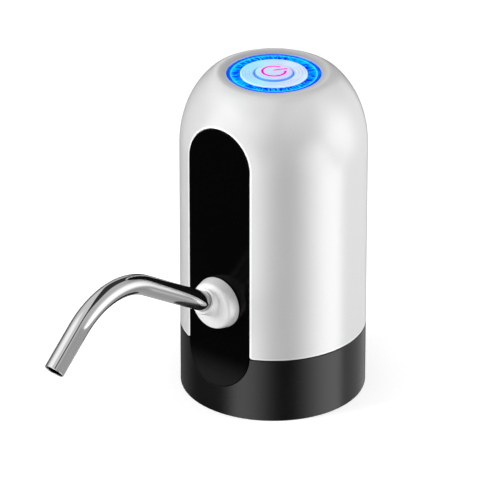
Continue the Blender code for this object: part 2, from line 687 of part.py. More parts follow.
def make_base_skirt(pocket):
    lip_outer = SHELL_INNER_RADIUS - GAP
    lip_inner = lip_outer - SPIGOT_LIP_WALL
    lip_top = BASE_HEIGHT + SPIGOT_LIP_HEIGHT
    rim = BODY_RADIUS - BASE_CHAMFER
    hole = NIPPLE_NECK_RADIUS + GAP
    ledge = lip_inner - GAP
    profile = [(ledge, BASE_HEIGHT), (rim, BASE_HEIGHT), (BODY_RADIUS, BASE_HEIGHT - BASE_CHAMFER)]
    profile += [(BODY_RADIUS, BASE_CHAMFER), (rim, 0)]
    profile += [(NECK_BORE_RADIUS - NECK_LIP, 0), (NECK_BORE_RADIUS - NECK_LIP, NECK_LIP_HEIGHT)]
    profile += [(NECK_BORE_RADIUS, NECK_LIP_HEIGHT), (NECK_BORE_RADIUS, NECK_DEPTH)]
    profile += [(hole, NECK_DEPTH), (hole, BASE_FLOOR_TOP), (ledge, BASE_FLOOR_TOP)]
    skirt = turned(profile, FINE)
    lip = turned(ring(lip_inner, lip_outer, BASE_FLOOR_TOP + GAP, lip_top), FINE, is_cutter=True)
    hollow_inner = NECK_BORE_RADIUS + NECK_WALL
    hollow_outer = BODY_RADIUS - SKIRT_WALL
    hollow = turned(
        ring(hollow_inner, hollow_outer, -OVERRUN, NECK_DEPTH - SKIRT_ROOF_STEP),
        FINE,
        is_cutter=True,
    )
    front_half = PANEL_HALF_WIDTH + SKIRT_WALL
    front_mass = block(
        (-front_half, -BODY_RADIUS - OVERRUN, -OVERRUN * 2),
        (front_half, -NECK_BORE_RADIUS / 2, BASE_HEIGHT),
        is_cutter=True,
    )
    cut(hollow, front_mass)
    half = RIB_THICKNESS / 2
    for angle, _, _ in around(RIB_COUNT, BODY_RADIUS, math.pi / RIB_COUNT):
        rib = block(
            (NECK_BORE_RADIUS / 2, -half, -OVERRUN * 2),
            (BODY_RADIUS + OVERRUN, half, BASE_HEIGHT),
            turn=(0, 0, angle),
            is_cutter=True,
        )
        cut(hollow, rib)
    lip_relief = block(
        (-BODY_RADIUS, -BODY_RADIUS - OVERRUN, BASE_FLOOR_TOP),
        (BODY_RADIUS, -SLAB_BACK + GAP, lip_top + OVERRUN),
        is_cutter=True,
    )
    cut(lip, lip_relief)
    join(skirt, lip, solver=MANY_CUTS)
    cut(skirt, hollow, pocket, solver=MANY_CUTS)
    hole_radius = FRAME_SCREW_RADIUS + GAP
    for _, x, y in around(FRAME_SCREW_COUNT, FRAME_SCREW_CIRCLE, math.pi / 4):
        hole = upright(disc(hole_radius, NECK_DEPTH - OVERRUN, BASE_FLOOR_TOP + OVERRUN), x, y)
        cut(skirt, hole, solver=MANY_CUTS)
    finish(skirt, "base_skirt", BLACK_SATIN)


def make_front_panel(port):
    panel = arch_prism(PANEL_HALF_WIDTH, PANEL_TOP, SCOOP_BOTTOM, PANEL_BACK, BODY_RADIUS)
    above = block(
        (-BODY_RADIUS, -BODY_RADIUS - OVERRUN, SCOOP_START),
        (BODY_RADIUS, -PANEL_FORWARD, BODY_HEIGHT + OVERRUN),
        is_cutter=True,
    )
    scoop = turned(
        disc(SCOOP_RADIUS, -BODY_RADIUS, BODY_RADIUS),
        SCOOP_FACETS,
        (0, -PANEL_FORWARD - SCOOP_RADIUS, SCOOP_START),
        (0, math.pi / 2, 0),
        True,
    )
    cut(panel, above, scoop, port, solver=MANY_CUTS)
    finish(panel, "front_panel", BLACK_GLOSS)


def make_neck_grip_ring():
    bottom = NECK_LIP_HEIGHT + GAP
    top = NECK_DEPTH - GRIP_TO_FLOOR
    outer = NECK_BORE_RADIUS - GAP
    profile = [(GRIP_RADIUS, top), (outer, top), (outer, bottom), (GRIP_RADIUS, bottom)]
    pitch = (top - bottom) / GRIP_LIP_COUNT
    for k in range(GRIP_LIP_COUNT):
        middle = bottom + pitch * k + pitch / 2
        profile += [(GRIP_RADIUS, middle - pitch / 4), (GRIP_RADIUS - GRIP_LIP, middle)]
        profile += [(GRIP_RADIUS, middle + pitch / 4)]
    finish(turned(profile, FINE - TINY), "neck_grip_ring", BLACK_RUBBER)


def barbs(radius, lip, start, end, count):
    """Ridges of a hose barb from its root at start to its tip at end."""
    step = (end - start) / count
    points = []
    for k in range(count):
        points += [(radius, start + step * k), (radius + lip, start + step * (k + BARB_CREST_SHARE))]
    return points + [(radius, end)]


def make_inlet():
    tip = NIPPLE_FLANGE_TOP + HOSE_BARB_LENGTH
    foot = NECK_DEPTH - NIPPLE_LENGTH
    shaft_top = NECK_DEPTH - NIPPLE_FLANGE
    profile = [(HOSE_BARB_BORE, tip), (HOSE_BARB_RADIUS, tip)]
    profile += [(HOSE_BARB_RADIUS, NIPPLE_FLANGE_TOP), (NIPPLE_FLANGE_RADIUS, NIPPLE_FLANGE_TOP)]
    profile += [(NIPPLE_FLANGE_RADIUS, NIPPLE_FLANGE_BOTTOM), (NIPPLE_NECK_RADIUS, NIPPLE_FLANGE_BOTTOM)]
    profile += [(NIPPLE_NECK_RADIUS, shaft_top)]
    profile += barbs(NIPPLE_RADIUS, NIPPLE_BARB, shaft_top, foot, NIPPLE_BARB_COUNT)
    profile += [(NIPPLE_BORE, foot), (NIPPLE_BORE, NIPPLE_FLANGE_BOTTOM)]
    profile += [(HOSE_BARB_BORE, NIPPLE_FLANGE_TOP)]
    finish(turned(profile, SMALL), "inlet_nipple", WHITE_PLASTIC)
    bottom = BASE_FLOOR_TOP + GAP
    gasket = ring(NIPPLE_NECK_RADIUS + GAP, NIPPLE_FLANGE_RADIUS - GAP, bottom, bottom + GASKET_THICKNESS)
    finish(turned(gasket, SMALL), "nipple_gasket", MILKY)
    inner = HOSE_BARB_RADIUS + GAP
    tube = ring(inner, inner + TUBE_WALL, NIPPLE_FLANGE_TOP + GAP, HEAD_BOTTOM - GAP)
    finish(turned(tube, SMALL), "inlet_tube", MILKY)


def make_outlet():
    barb_back = PUMP_RADIUS - PUMP_BACK
    barb_front = barb_back + OUTLET_BARB_LENGTH
    cup_back = SPIGOT_END - GAP - SOCKET_FLOOR
    front = PANEL_FORWARD - GAP
    flange_front = SLAB_BACK - GAP
    flange_back = flange_front - SOCKET_FLANGE
    tail = barb_front + GAP
    profile = [(SOCKET_BORE_RADIUS, front), (SOCKET_RADIUS, front), (SOCKET_RADIUS, flange_front)]
    profile += [(SOCKET_FLANGE_RADIUS, flange_front), (SOCKET_FLANGE_RADIUS, flange_back)]
    profile += [(SOCKET_RADIUS, flange_back), (SOCKET_RADIUS, cup_back)]
    profile += [(HOSE_BARB_RADIUS, cup_back), (HOSE_BARB_RADIUS, tail)]
    profile += [(HOSE_BARB_BORE, tail), (HOSE_BARB_BORE, SPIGOT_END - GAP)]
    profile += [(SOCKET_BORE_RADIUS, SPIGOT_END - GAP)]
    finish(turned(profile, SMALL, (0, 0, PORT_HEIGHT), TO_FRONT), "outlet_socket", NATURAL)
    inner = HOSE_BARB_RADIUS + GAP
    tube = ring(inner, inner + TUBE_WALL, barb_back + GAP, cup_back - GAP)
    finish(turned(tube, SMALL, (0, 0, PORT_HEIGHT), TO_FRONT), "outlet_tube", MILKY)


def make_spout():
    widest = COLLAR_BACK + COLLAR_THICKNESS / 2
    front = COLLAR_BACK + COLLAR_THICKNESS
    apex = front + COLLAR_CROWN
    groove_back = SPIGOT_END + RING_GROOVE_FROM_END
    groove_front = groove_back + RING_GROOVE_WIDTH
    groove_radius = SPIGOT_RADIUS - RING_GROOVE_DEPTH
    edge = COLLAR_EDGE
    profile = [(0, apex), (NOSE_RADIUS, apex - edge / 4), (COLLAR_RADIUS - edge * 2, front)]
    profile += [(COLLAR_RADIUS - edge, front - edge / 4), (COLLAR_RADIUS - edge / 4, front - edge)]
    profile += [(COLLAR_RADIUS, widest), (COLLAR_RADIUS - edge / 4, COLLAR_BACK + edge)]
    profile += [(COLLAR_RADIUS - edge, COLLAR_BACK), (SPIGOT_RADIUS, COLLAR_BACK)]
    profile += [(SPIGOT_RADIUS, groove_front), (groove_radius, groove_front)]
    profile += [(groove_radius, groove_back), (SPIGOT_RADIUS, groove_back)]
    profile += [(SPIGOT_RADIUS, SPIGOT_END), (0, SPIGOT_END)]
    collar = turned(profile, ROUND, (0, 0, PORT_HEIGHT), TO_FRONT)
    root = (0, -PIPE_ROOT_FORWARD, PORT_HEIGHT)
    chamfer = COLLAR_EDGE / 2
    nose = turned(
        [(0, NOSE_LENGTH), (NOSE_RADIUS - chamfer, NOSE_LENGTH), (NOSE_RADIUS, NOSE_LENGTH - chamfer)]
        + [(NOSE_RADIUS, 0), (0, 0)],
        ROUND,
        root,
        ALONG_PIPE,
        True,
    )
    seat = turned(disc(PIPE_RADIUS + GAP, 0, NOSE_LENGTH + OVERRUN), ROUND, root, ALONG_PIPE, True)
    water_way = turned(
        disc(SPIGOT_BORE, SPIGOT_END - OVERRUN, PIPE_ROOT_FORWARD + PIPE_RADIUS / 2),
        SMALL,
        (0, 0, PORT_HEIGHT),
        TO_FRONT,
        True,
    )
    join(collar, nose, solver=MANY_CUTS)
    cut(collar, seat, water_way, solver=MANY_CUTS)
    finish(collar, "spout_collar", WHITE_PLASTIC)

    ring_radius = (groove_radius + GAP + SOCKET_BORE_RADIUS - GAP) / 2
    half = (SOCKET_BORE_RADIUS - GAP - groove_radius - GAP) / 2
    middle = (groove_back + groove_front) / 2
    steps = TINY - 1
    top = math.pi / 2
    section = arc((ring_radius, middle), half, half, top, top - math.tau * steps / TINY, steps)
    finish(turned(section, SMALL, (0, 0, PORT_HEIGHT), TO_FRONT), "spout_seal", BLACK_RUBBER)

    outer = as_mesh(swept(pipe_path(GAP, 0), PIPE_RADIUS, PIPE_ROUNDNESS), (0, 0, PORT_HEIGHT))
    bore = as_mesh(
        swept(pipe_path(GAP - OVERRUN, OVERRUN), PIPE_RADIUS - PIPE_WALL, PIPE_BORE_ROUNDNESS),
        (0, 0, PORT_HEIGHT),
        is_cutter=True,
    )
    cut(outer, bore)
    finish(outer, "spout_pipe", BRIGHT_STEEL)


def pipe_path(start, extra):
    """Centre line of the bent pipe about the port axis, start along its first run."""
    along = Vector((0, -math.cos(PIPE_RISE), math.sin(PIPE_RISE)))
    across = Vector((0, math.sin(PIPE_RISE), math.cos(PIPE_RISE)))
    root = Vector((0, -PIPE_ROOT_FORWARD, 0))
    bend_start = root + along * PIPE_RISE_LENGTH
    centre = bend_start - across * PIPE_BEND_RADIUS
    points = [root + along * start]
    for k in range(ARC_STEPS + 1):
        angle = PIPE_TURN * k / ARC_STEPS
        outward = across * math.cos(angle) + along * math.sin(angle)
        points.append(centre + outward * PIPE_BEND_RADIUS)
    down = along * math.cos(PIPE_TURN) - across * math.sin(PIPE_TURN)
    points.append(points[-1] + down * (PIPE_DROP_LENGTH + extra))
    return points


def pump_screw_places():
    return around(PUMP_SCREW_COUNT, PUMP_SCREW_CIRCLE, math.pi / 2, (0, PUMP_BACK))


def make_pump():
    axis = (0, PUMP_BACK, 0)
    nozzle_tip = HEAD_BOTTOM - HOSE_BARB_LENGTH
    holes = [
        upright(disc(PUMP_SCREW_RADIUS + GAP, PUMP_SCREW_BOTTOM - OVERRUN, PUMP_SCREW_TOP + GAP), x, y)
        for _, x, y in pump_screw_places()
    ]
    head = turned(disc(PUMP_RADIUS, HEAD_BOTTOM, HEAD_TOP), ROUND, axis)
    suction = turned(disc(HOSE_BARB_RADIUS, nozzle_tip, HEAD_BOTTOM + GAP), SMALL, is_cutter=True)
    barb_front = PUMP_RADIUS - PUMP_BACK + OUTLET_BARB_LENGTH
    delivery = turned(
        disc(HOSE_BARB_RADIUS, -PUMP_BACK, barb_front - GAP), SMALL, (0, 0, PORT_HEIGHT), TO_FRONT, True
    )
    suction_bore = upright(disc(HOSE_BARB_BORE, nozzle_tip - OVERRUN, HEAD_BOTTOM + HOSE_BARB_BORE / 2))
    delivery_bore = turned(
        disc(HOSE_BARB_BORE, HOSE_BARB_RADIUS, barb_front + OVERRUN),
        TINY,
        (0, 0, PORT_HEIGHT),
        TO_FRONT,
        True,
    )
    chamber = turned(
        disc(CUP_CIRCLE + CUP_RADIUS, HEAD_TOP - DIAPHRAGM_FLANGE, HEAD_TOP + OVERRUN),
        SMALL,
        axis,
        is_cutter=True,
    )
    join(head, suction, delivery, solver=MANY_CUTS)
    cut(head, suction_bore, delivery_bore, chamber, *holes, solver=MANY_CUTS)
    finish(head, "pump_head", BLACK_SATIN)

    plate = turned(disc(PUMP_RADIUS, VALVE_BOTTOM, VALVE_TOP), ROUND, axis)
    cut(plate, *holes, solver=MANY_CUTS)
    for _, x, y in around(CUP_COUNT, CUP_CIRCLE, -math.pi / 2, (0, PUMP_BACK)):
        valve = upright(disc(CUP_STEM_RADIUS, VALVE_BOTTOM - OVERRUN, VALVE_TOP + OVERRUN), x, y)
        cut(plate, valve, solver=MANY_CUTS)
    finish(plate, "valve_plate", NATURAL)

    rubber = turned(disc(PUMP_RADIUS, DIAPHRAGM_BOTTOM, DIAPHRAGM_TOP), ROUND, axis)
    middle = (DIAPHRAGM_BOTTOM + DIAPHRAGM_TOP) / 2
    for _, x, y in around(CUP_COUNT, CUP_CIRCLE, -math.pi / 2, (0, PUMP_BACK)):
        cup = [(0, CUP_TOP + CUP_STEM), (CUP_STEM_RADIUS, CUP_TOP + CUP_STEM)]
        cup += [(CUP_STEM_RADIUS, CUP_TOP), (CUP_RADIUS - GAP, CUP_TOP)]
        cup += [(CUP_RADIUS, middle), (0, middle)]
        join(rubber, upright(cup, x, y), solver=MANY_CUTS)
    cut(rubber, *holes, solver=MANY_CUTS)
    finish(rubber, "pump_diaphragm", MAGNET_GREY)

    boss_hole = MOTOR_BOSS_RADIUS + GAP
    ceiling = HOUSING_TOP - HOUSING_ROOF
    body = [(boss_hole, HOUSING_TOP), (PUMP_RADIUS, HOUSING_TOP), (PUMP_RADIUS, HOUSING_BOTTOM)]
    body += [(HOUSING_BORE, HOUSING_BOTTOM), (HOUSING_BORE, ceiling), (boss_hole, ceiling)]
    housing = turned(body, ROUND, axis)
    cut(housing, *holes, solver=MANY_CUTS)
    finish(housing, "pump_housing", BLACK_SATIN)

    for k, (_, x, y) in enumerate(pump_screw_places(), 1):
        pan = PUMP_SCREW_BOTTOM - PUMP_SCREW_HEAD
        screw = [(0, PUMP_SCREW_TOP), (PUMP_SCREW_RADIUS, PUMP_SCREW_TOP - GAP)]
        screw += [(PUMP_SCREW_RADIUS, PUMP_SCREW_BOTTOM)]
        screw += [(PUMP_SCREW_HEAD_RADIUS, PUMP_SCREW_BOTTOM), (PUMP_SCREW_HEAD_RADIUS, pan), (0, pan)]
        finish(turned(screw, TINY, (x, y, 0)), f"pump_screw_{k}", STEEL)


def make_wobble_drive():
    axis = (0, PUMP_BACK, WOBBLE_CENTRE)
    lean = (0, WOBBLE_TILT, 0)
    pin_hole = PIN_RADIUS + GAP
    spider = [(pin_hole, WOBBLE_HUB), (WOBBLE_HUB_RADIUS, WOBBLE_HUB)]
    spider += [(WOBBLE_HUB_RADIUS, WOBBLE_THICKNESS), (WOBBLE_RADIUS, WOBBLE_THICKNESS)]
    spider += [(WOBBLE_RADIUS, 0), (pin_hole, 0)]
    finish(turned(spider, SMALL, axis, lean), "wobble_plate", NATURAL)
    finish(turned(disc(PIN_RADIUS, 0, PIN_LENGTH), TINY, axis, lean), "drive_pin", STEEL)

    hub = turned(disc(ECCENTRIC_RADIUS, ECCENTRIC_BOTTOM, ECCENTRIC_TOP), SMALL, (0, PUMP_BACK, 0))
    pin_seat = turned(disc(pin_hole, 0, PIN_LENGTH + GAP), TINY, axis, lean, True)
    shaft_seat = upright(
        disc(SHAFT_RADIUS + GAP, ECCENTRIC_TOP - SHAFT_BITE - GAP, ECCENTRIC_TOP + OVERRUN), 0, PUMP_BACK
    )
    cut(hub, pin_seat, shaft_seat)
    finish(hub, "eccentric", NATURAL)


def make_motor():
    axis = (0, PUMP_BACK, 0)
    shaft_hole = SHAFT_RADIUS + GAP
    bush_hole = BUSH_RADIUS + GAP
    boss_bottom = MOTOR_BOTTOM - MOTOR_BOSS
    bush_bottom = boss_bottom + GAP
    bush_top = bush_bottom + BUSH_LENGTH
    inside = MOTOR_RADIUS - MOTOR_SHEET
    floor_top = MOTOR_BOTTOM + MOTOR_SHEET
    can = [(inside, MOTOR_TOP), (MOTOR_RADIUS, MOTOR_TOP), (MOTOR_RADIUS, MOTOR_BOTTOM)]
    can += [(MOTOR_BOSS_RADIUS, MOTOR_BOTTOM), (MOTOR_BOSS_RADIUS, boss_bottom)]
    can += [(bush_hole, boss_bottom), (bush_hole, floor_top), (inside, floor_top)]
    finish(turned(can, ROUND, axis), "motor_can", STEEL)
    bush = turned(ring(shaft_hole, BUSH_RADIUS, bush_bottom, bush_top), TINY, axis)
    finish(bush, "front_bush", COPPER)

    for name, side in (("magnet_left", -1), ("magnet_right", 1)):
        magnet = turned(
            ring(MAGNET_OUTER - MAGNET_THICKNESS, MAGNET_OUTER, MAGNET_BOTTOM, MAGNET_TOP), ROUND, axis
        )
        away = sorted((side * MAGNET_SPLIT / 2, -side * (MOTOR_RADIUS + OVERRUN)))
        half = block(
            (away[0], -MOTOR_RADIUS - OVERRUN, MAGNET_BOTTOM - OVERRUN),
            (away[1], MOTOR_RADIUS + OVERRUN, MAGNET_TOP + OVERRUN),
            place=axis,
            is_cutter=True,
        )
        cut(magnet, half)
        finish(magnet, name, MAGNET_GREY)

    rotor = turned(ring(shaft_hole, ARMATURE_RADIUS, ARMATURE_BOTTOM, ARMATURE_TOP), ROUND, axis)
    for angle, _, _ in around(ARMATURE_POLES, ARMATURE_RADIUS, math.pi / 2):
        slot = block(
            (ARMATURE_RADIUS - ARMATURE_SLOT_DEPTH, -ARMATURE_SLOT / 2, ARMATURE_BOTTOM - OVERRUN),
            (ARMATURE_RADIUS + OVERRUN, ARMATURE_SLOT / 2, ARMATURE_TOP + OVERRUN),
            turn=(0, 0, angle),
            place=axis,
            is_cutter=True,
        )
        cut(rotor, slot)
    finish(rotor, "armature", COPPER)
    bottom = ARMATURE_TOP + GAP
    finish(
        turned(ring(shaft_hole, COMMUTATOR_RADIUS, bottom, bottom + COMMUTATOR_LENGTH), TINY, axis),
        "commutator",
        COPPER,
    )
    shaft = disc(SHAFT_RADIUS, ECCENTRIC_TOP - SHAFT_BITE, END_CAP_TOP - GAP)
    finish(turned(shaft, TINY, axis), "motor_shaft", STEEL)

    plug_bottom = MOTOR_TOP - MOTOR_SHEET
    cap_profile = [(bush_hole, END_CAP_TOP), (MOTOR_RADIUS, END_CAP_TOP), (MOTOR_RADIUS, END_CAP_BOTTOM)]
    cap_profile += [(inside - GAP, END_CAP_BOTTOM), (inside - GAP, plug_bottom), (bush_hole, plug_bottom)]
    cap = turned(cap_profile, ROUND, axis)
    half_width = TERMINAL_WIDTH / 2
    half_thick = TERMINAL_THICKNESS / 2
    for name, side in (("motor_terminal_left", -1), ("motor_terminal_right", 1)):
        place = (side * TERMINAL_SPREAD, PUMP_BACK, 0)
        slot = block(
            (-half_thick - GAP, -half_width - GAP, plug_bottom - OVERRUN),
            (half_thick + GAP, half_width + GAP, END_CAP_TOP + OVERRUN),
            place=place,
            is_cutter=True,
        )
        cut(cap, slot)
        blade = block(
            (-half_thick, -half_width, plug_bottom),
            (half_thick, half_width, plug_bottom + TERMINAL_LENGTH),
            place=place,
        )
        finish(blade, name, COPPER)
    finish(cap, "motor_end_cap", BLACK_SATIN)
    rear = ring(shaft_hole, BUSH_RADIUS, plug_bottom + GAP, END_CAP_TOP - GAP)
    finish(turned(rear, TINY, axis), "rear_bush", COPPER)

    sleeve = ring(SLEEVE_INNER, SLEEVE_OUTER, SLEEVE_BOTTOM, SLEEVE_BOTTOM + MOUNT_SLEEVE_HEIGHT)
    finish(turned(sleeve, ROUND, axis), "motor_sleeve", MAGNET_GREY)


def make_inner_frame():
    tube_hole = HOSE_BARB_RADIUS + GAP + TUBE_WALL + GAP
    frame = turned(ring(tube_hole, FRAME_RADIUS, FRAME_FLOOR_BOTTOM, FRAME_FLOOR_TOP), ROUND)
    inside_floor = FRAME_FLOOR_TOP - FRAME_FLOOR / 2

    cup_place = (CELL_SIDE, -CELL_FORWARD, 0)
    cup = turned(
        ring(CELL_CUP_INNER, CELL_CUP_OUTER, inside_floor, FRAME_FLOOR_TOP + CELL_CUP_HEIGHT),
        SMALL,
        cup_place,
        is_cutter=True,
    )
    cup_floor = turned(
        disc(CELL_CUP_OUTER, FRAME_FLOOR_BOTTOM, FRAME_FLOOR_TOP),
        SMALL,
        cup_place,
        is_cutter=True,
    )
    join(frame, cup_floor, cup, solver=MANY_CUTS)

    holder = turned(
        ring(FRAME_RING_INNER, FRAME_RING_OUTER, SLEEVE_BOTTOM, SLEEVE_BOTTOM + MOUNT_SLEEVE_HEIGHT),
        ROUND,
        (0, PUMP_BACK, 0),
        is_cutter=True,
    )
    join(frame, holder, solver=MANY_CUTS)
    post_top = SLEEVE_BOTTOM + MOUNT_SLEEVE_HEIGHT / 2
    for angle in FRAME_POST_ANGLES:
        post = block(
            (FRAME_RING_INNER + GAP, -FRAME_POST_WIDTH / 2, inside_floor),
            (FRAME_RING_INNER + FRAME_POST_DEPTH, FRAME_POST_WIDTH / 2, post_top),
            turn=(0, 0, angle),
            place=(0, PUMP_BACK, 0),
            is_cutter=True,
        )
        join(frame, post, solver=MANY_CUTS)

    middle = BOARD_BACK + BOARD_THICKNESS / 2
    for side in (-1, 1):
        inner = BOARD_WIDTH / 2 - BOARD_RAIL_GRIP
        edges = sorted((side * inner, side * (inner + BOARD_RAIL_WIDTH)))
        rail = block(
            (edges[0], middle - BOARD_RAIL_DEPTH / 2, inside_floor),
            (edges[1], middle + BOARD_RAIL_DEPTH / 2, FRAME_FLOOR_TOP + BOARD_RAIL_HEIGHT),
            is_cutter=True,
        )
        join(frame, rail, solver=MANY_CUTS)
    board_slot = block(
        (-BOARD_WIDTH / 2 - GAP, BOARD_BACK - GAP, FRAME_FLOOR_TOP),
        (BOARD_WIDTH / 2 + GAP, BOARD_REAR + GAP, BOARD_TOP + OVERRUN),
        is_cutter=True,
    )
    cut(frame, board_slot, solver=MANY_CUTS)

    trim_bottom = FRAME_FLOOR_BOTTOM - OVERRUN
    trim_top = MOTOR_TOP + OVERRUN
    trim = turned(
        ring(SHELL_INNER_RADIUS - GAP * 2, BODY_RADIUS + OVERRUN * 2, trim_bottom, trim_top),
        FINE,
        is_cutter=True,
    )
    front_trim = block(
        (-BODY_RADIUS, -BODY_RADIUS - OVERRUN, trim_bottom),
        (BODY_RADIUS, -SLAB_BACK + GAP, trim_top),
        is_cutter=True,
    )
    cut(frame, trim, front_trim, solver=MANY_CUTS)
    hole_profile = disc(FRAME_SCREW_RADIUS + GAP, BASE_FLOOR_TOP - OVERRUN, FRAME_FLOOR_BOTTOM + GAP)
    for _, x, y in around(FRAME_SCREW_COUNT, FRAME_SCREW_CIRCLE, math.pi / 4):
        foot = upright(disc(STANDOFF_RADIUS, BASE_FLOOR_TOP + GAP, inside_floor), x, y)
        hole = upright(hole_profile, x, y)
        join(frame, foot, solver=MANY_CUTS)
        cut(frame, hole, solver=MANY_CUTS)
    finish(frame, "inner_frame", NATURAL)

    for k, (_, x, y) in enumerate(around(FRAME_SCREW_COUNT, FRAME_SCREW_CIRCLE, math.pi / 4), 1):
        seat = NECK_DEPTH - GAP
        pan = seat - FRAME_SCREW_HEAD
        profile = [(0, FRAME_FLOOR_BOTTOM), (FRAME_SCREW_RADIUS, FRAME_FLOOR_BOTTOM - GAP)]
        profile += [(FRAME_SCREW_RADIUS, seat), (FRAME_SCREW_HEAD_RADIUS, seat)]
        profile += [(FRAME_SCREW_HEAD_RADIUS, pan + GAP * 2)]
        profile += [(FRAME_SCREW_HEAD_RADIUS - GAP * 2, pan), (0, pan)]
        screw = turned(profile, TINY, (x, y, 0))
        for turn in (0, math.pi / 2):
            slot = block(
                (-SCREW_SLOT_LENGTH / 2, -SCREW_SLOT_WIDTH / 2, pan - OVERRUN),
                (SCREW_SLOT_LENGTH / 2, SCREW_SLOT_WIDTH / 2, pan + SCREW_SLOT_DEPTH),
                turn=(0, 0, turn),
                place=(x, y, 0),
                is_cutter=True,
            )
            cut(screw, slot)
        finish(screw, f"frame_screw_{k}", STEEL)


def make_battery_cell():
    place = (CELL_SIDE, -CELL_FORWARD, 0)
    shoulder = CELL_TOP - CELL_NUB
    profile = [(0, CELL_TOP), (CELL_NUB_RADIUS, CELL_TOP), (CELL_NUB_RADIUS, shoulder)]
    profile += [(CELL_RADIUS, shoulder), (CELL_RADIUS, CELL_BOTTOM), (0, CELL_BOTTOM)]
    finish(turned(profile, SMALL, place), "battery_cell", CELL_WRAP)


def make_main_board():
    board = block(
        (-BOARD_WIDTH / 2, BOARD_BACK, BOARD_BOTTOM), (BOARD_WIDTH / 2, BOARD_REAR, BOARD_TOP)
    )
    finish(board, "main_board", BOARD_GREEN)

    mouth = BODY_RADIUS - CHARGE_PORT_SET_BACK
    half_width = CHARGE_PORT_WIDTH / 2
    half = CHARGE_PORT_THICKNESS / 2
    place = (0, 0, CHARGE_PORT_HEIGHT)
    socket = block((-half_width, BOARD_REAR + GAP, -half), (half_width, mouth, half), place=place)
    inner_width = half_width - CHARGE_PORT_SHEET
    inner_half = half - CHARGE_PORT_SHEET
    tongue_top = inner_half - CHARGE_TONGUE
    for low, high in ((-inner_half, tongue_top - CHARGE_TONGUE), (tongue_top, inner_half)):
        slot = block(
            (-inner_width, mouth - CHARGE_PORT_DEPTH, low),
            (inner_width, mouth + OVERRUN, high),
            place=place,
            is_cutter=True,
        )
        cut(socket, slot)
    finish(socket, "charging_socket", STEEL)

    chip_front = BOARD_BACK - GAP
    chip = block(
        (-CHIP_SIZE / 2, chip_front - CHIP_THICKNESS, -CHIP_SIZE / 2),
        (CHIP_SIZE / 2, chip_front, CHIP_SIZE / 2),
        place=(-CHIP_SIZE, 0, BOARD_TOP - CHIP_LIFT * 2),
    )
    finish(chip, "control_chip", BLACK_SATIN)


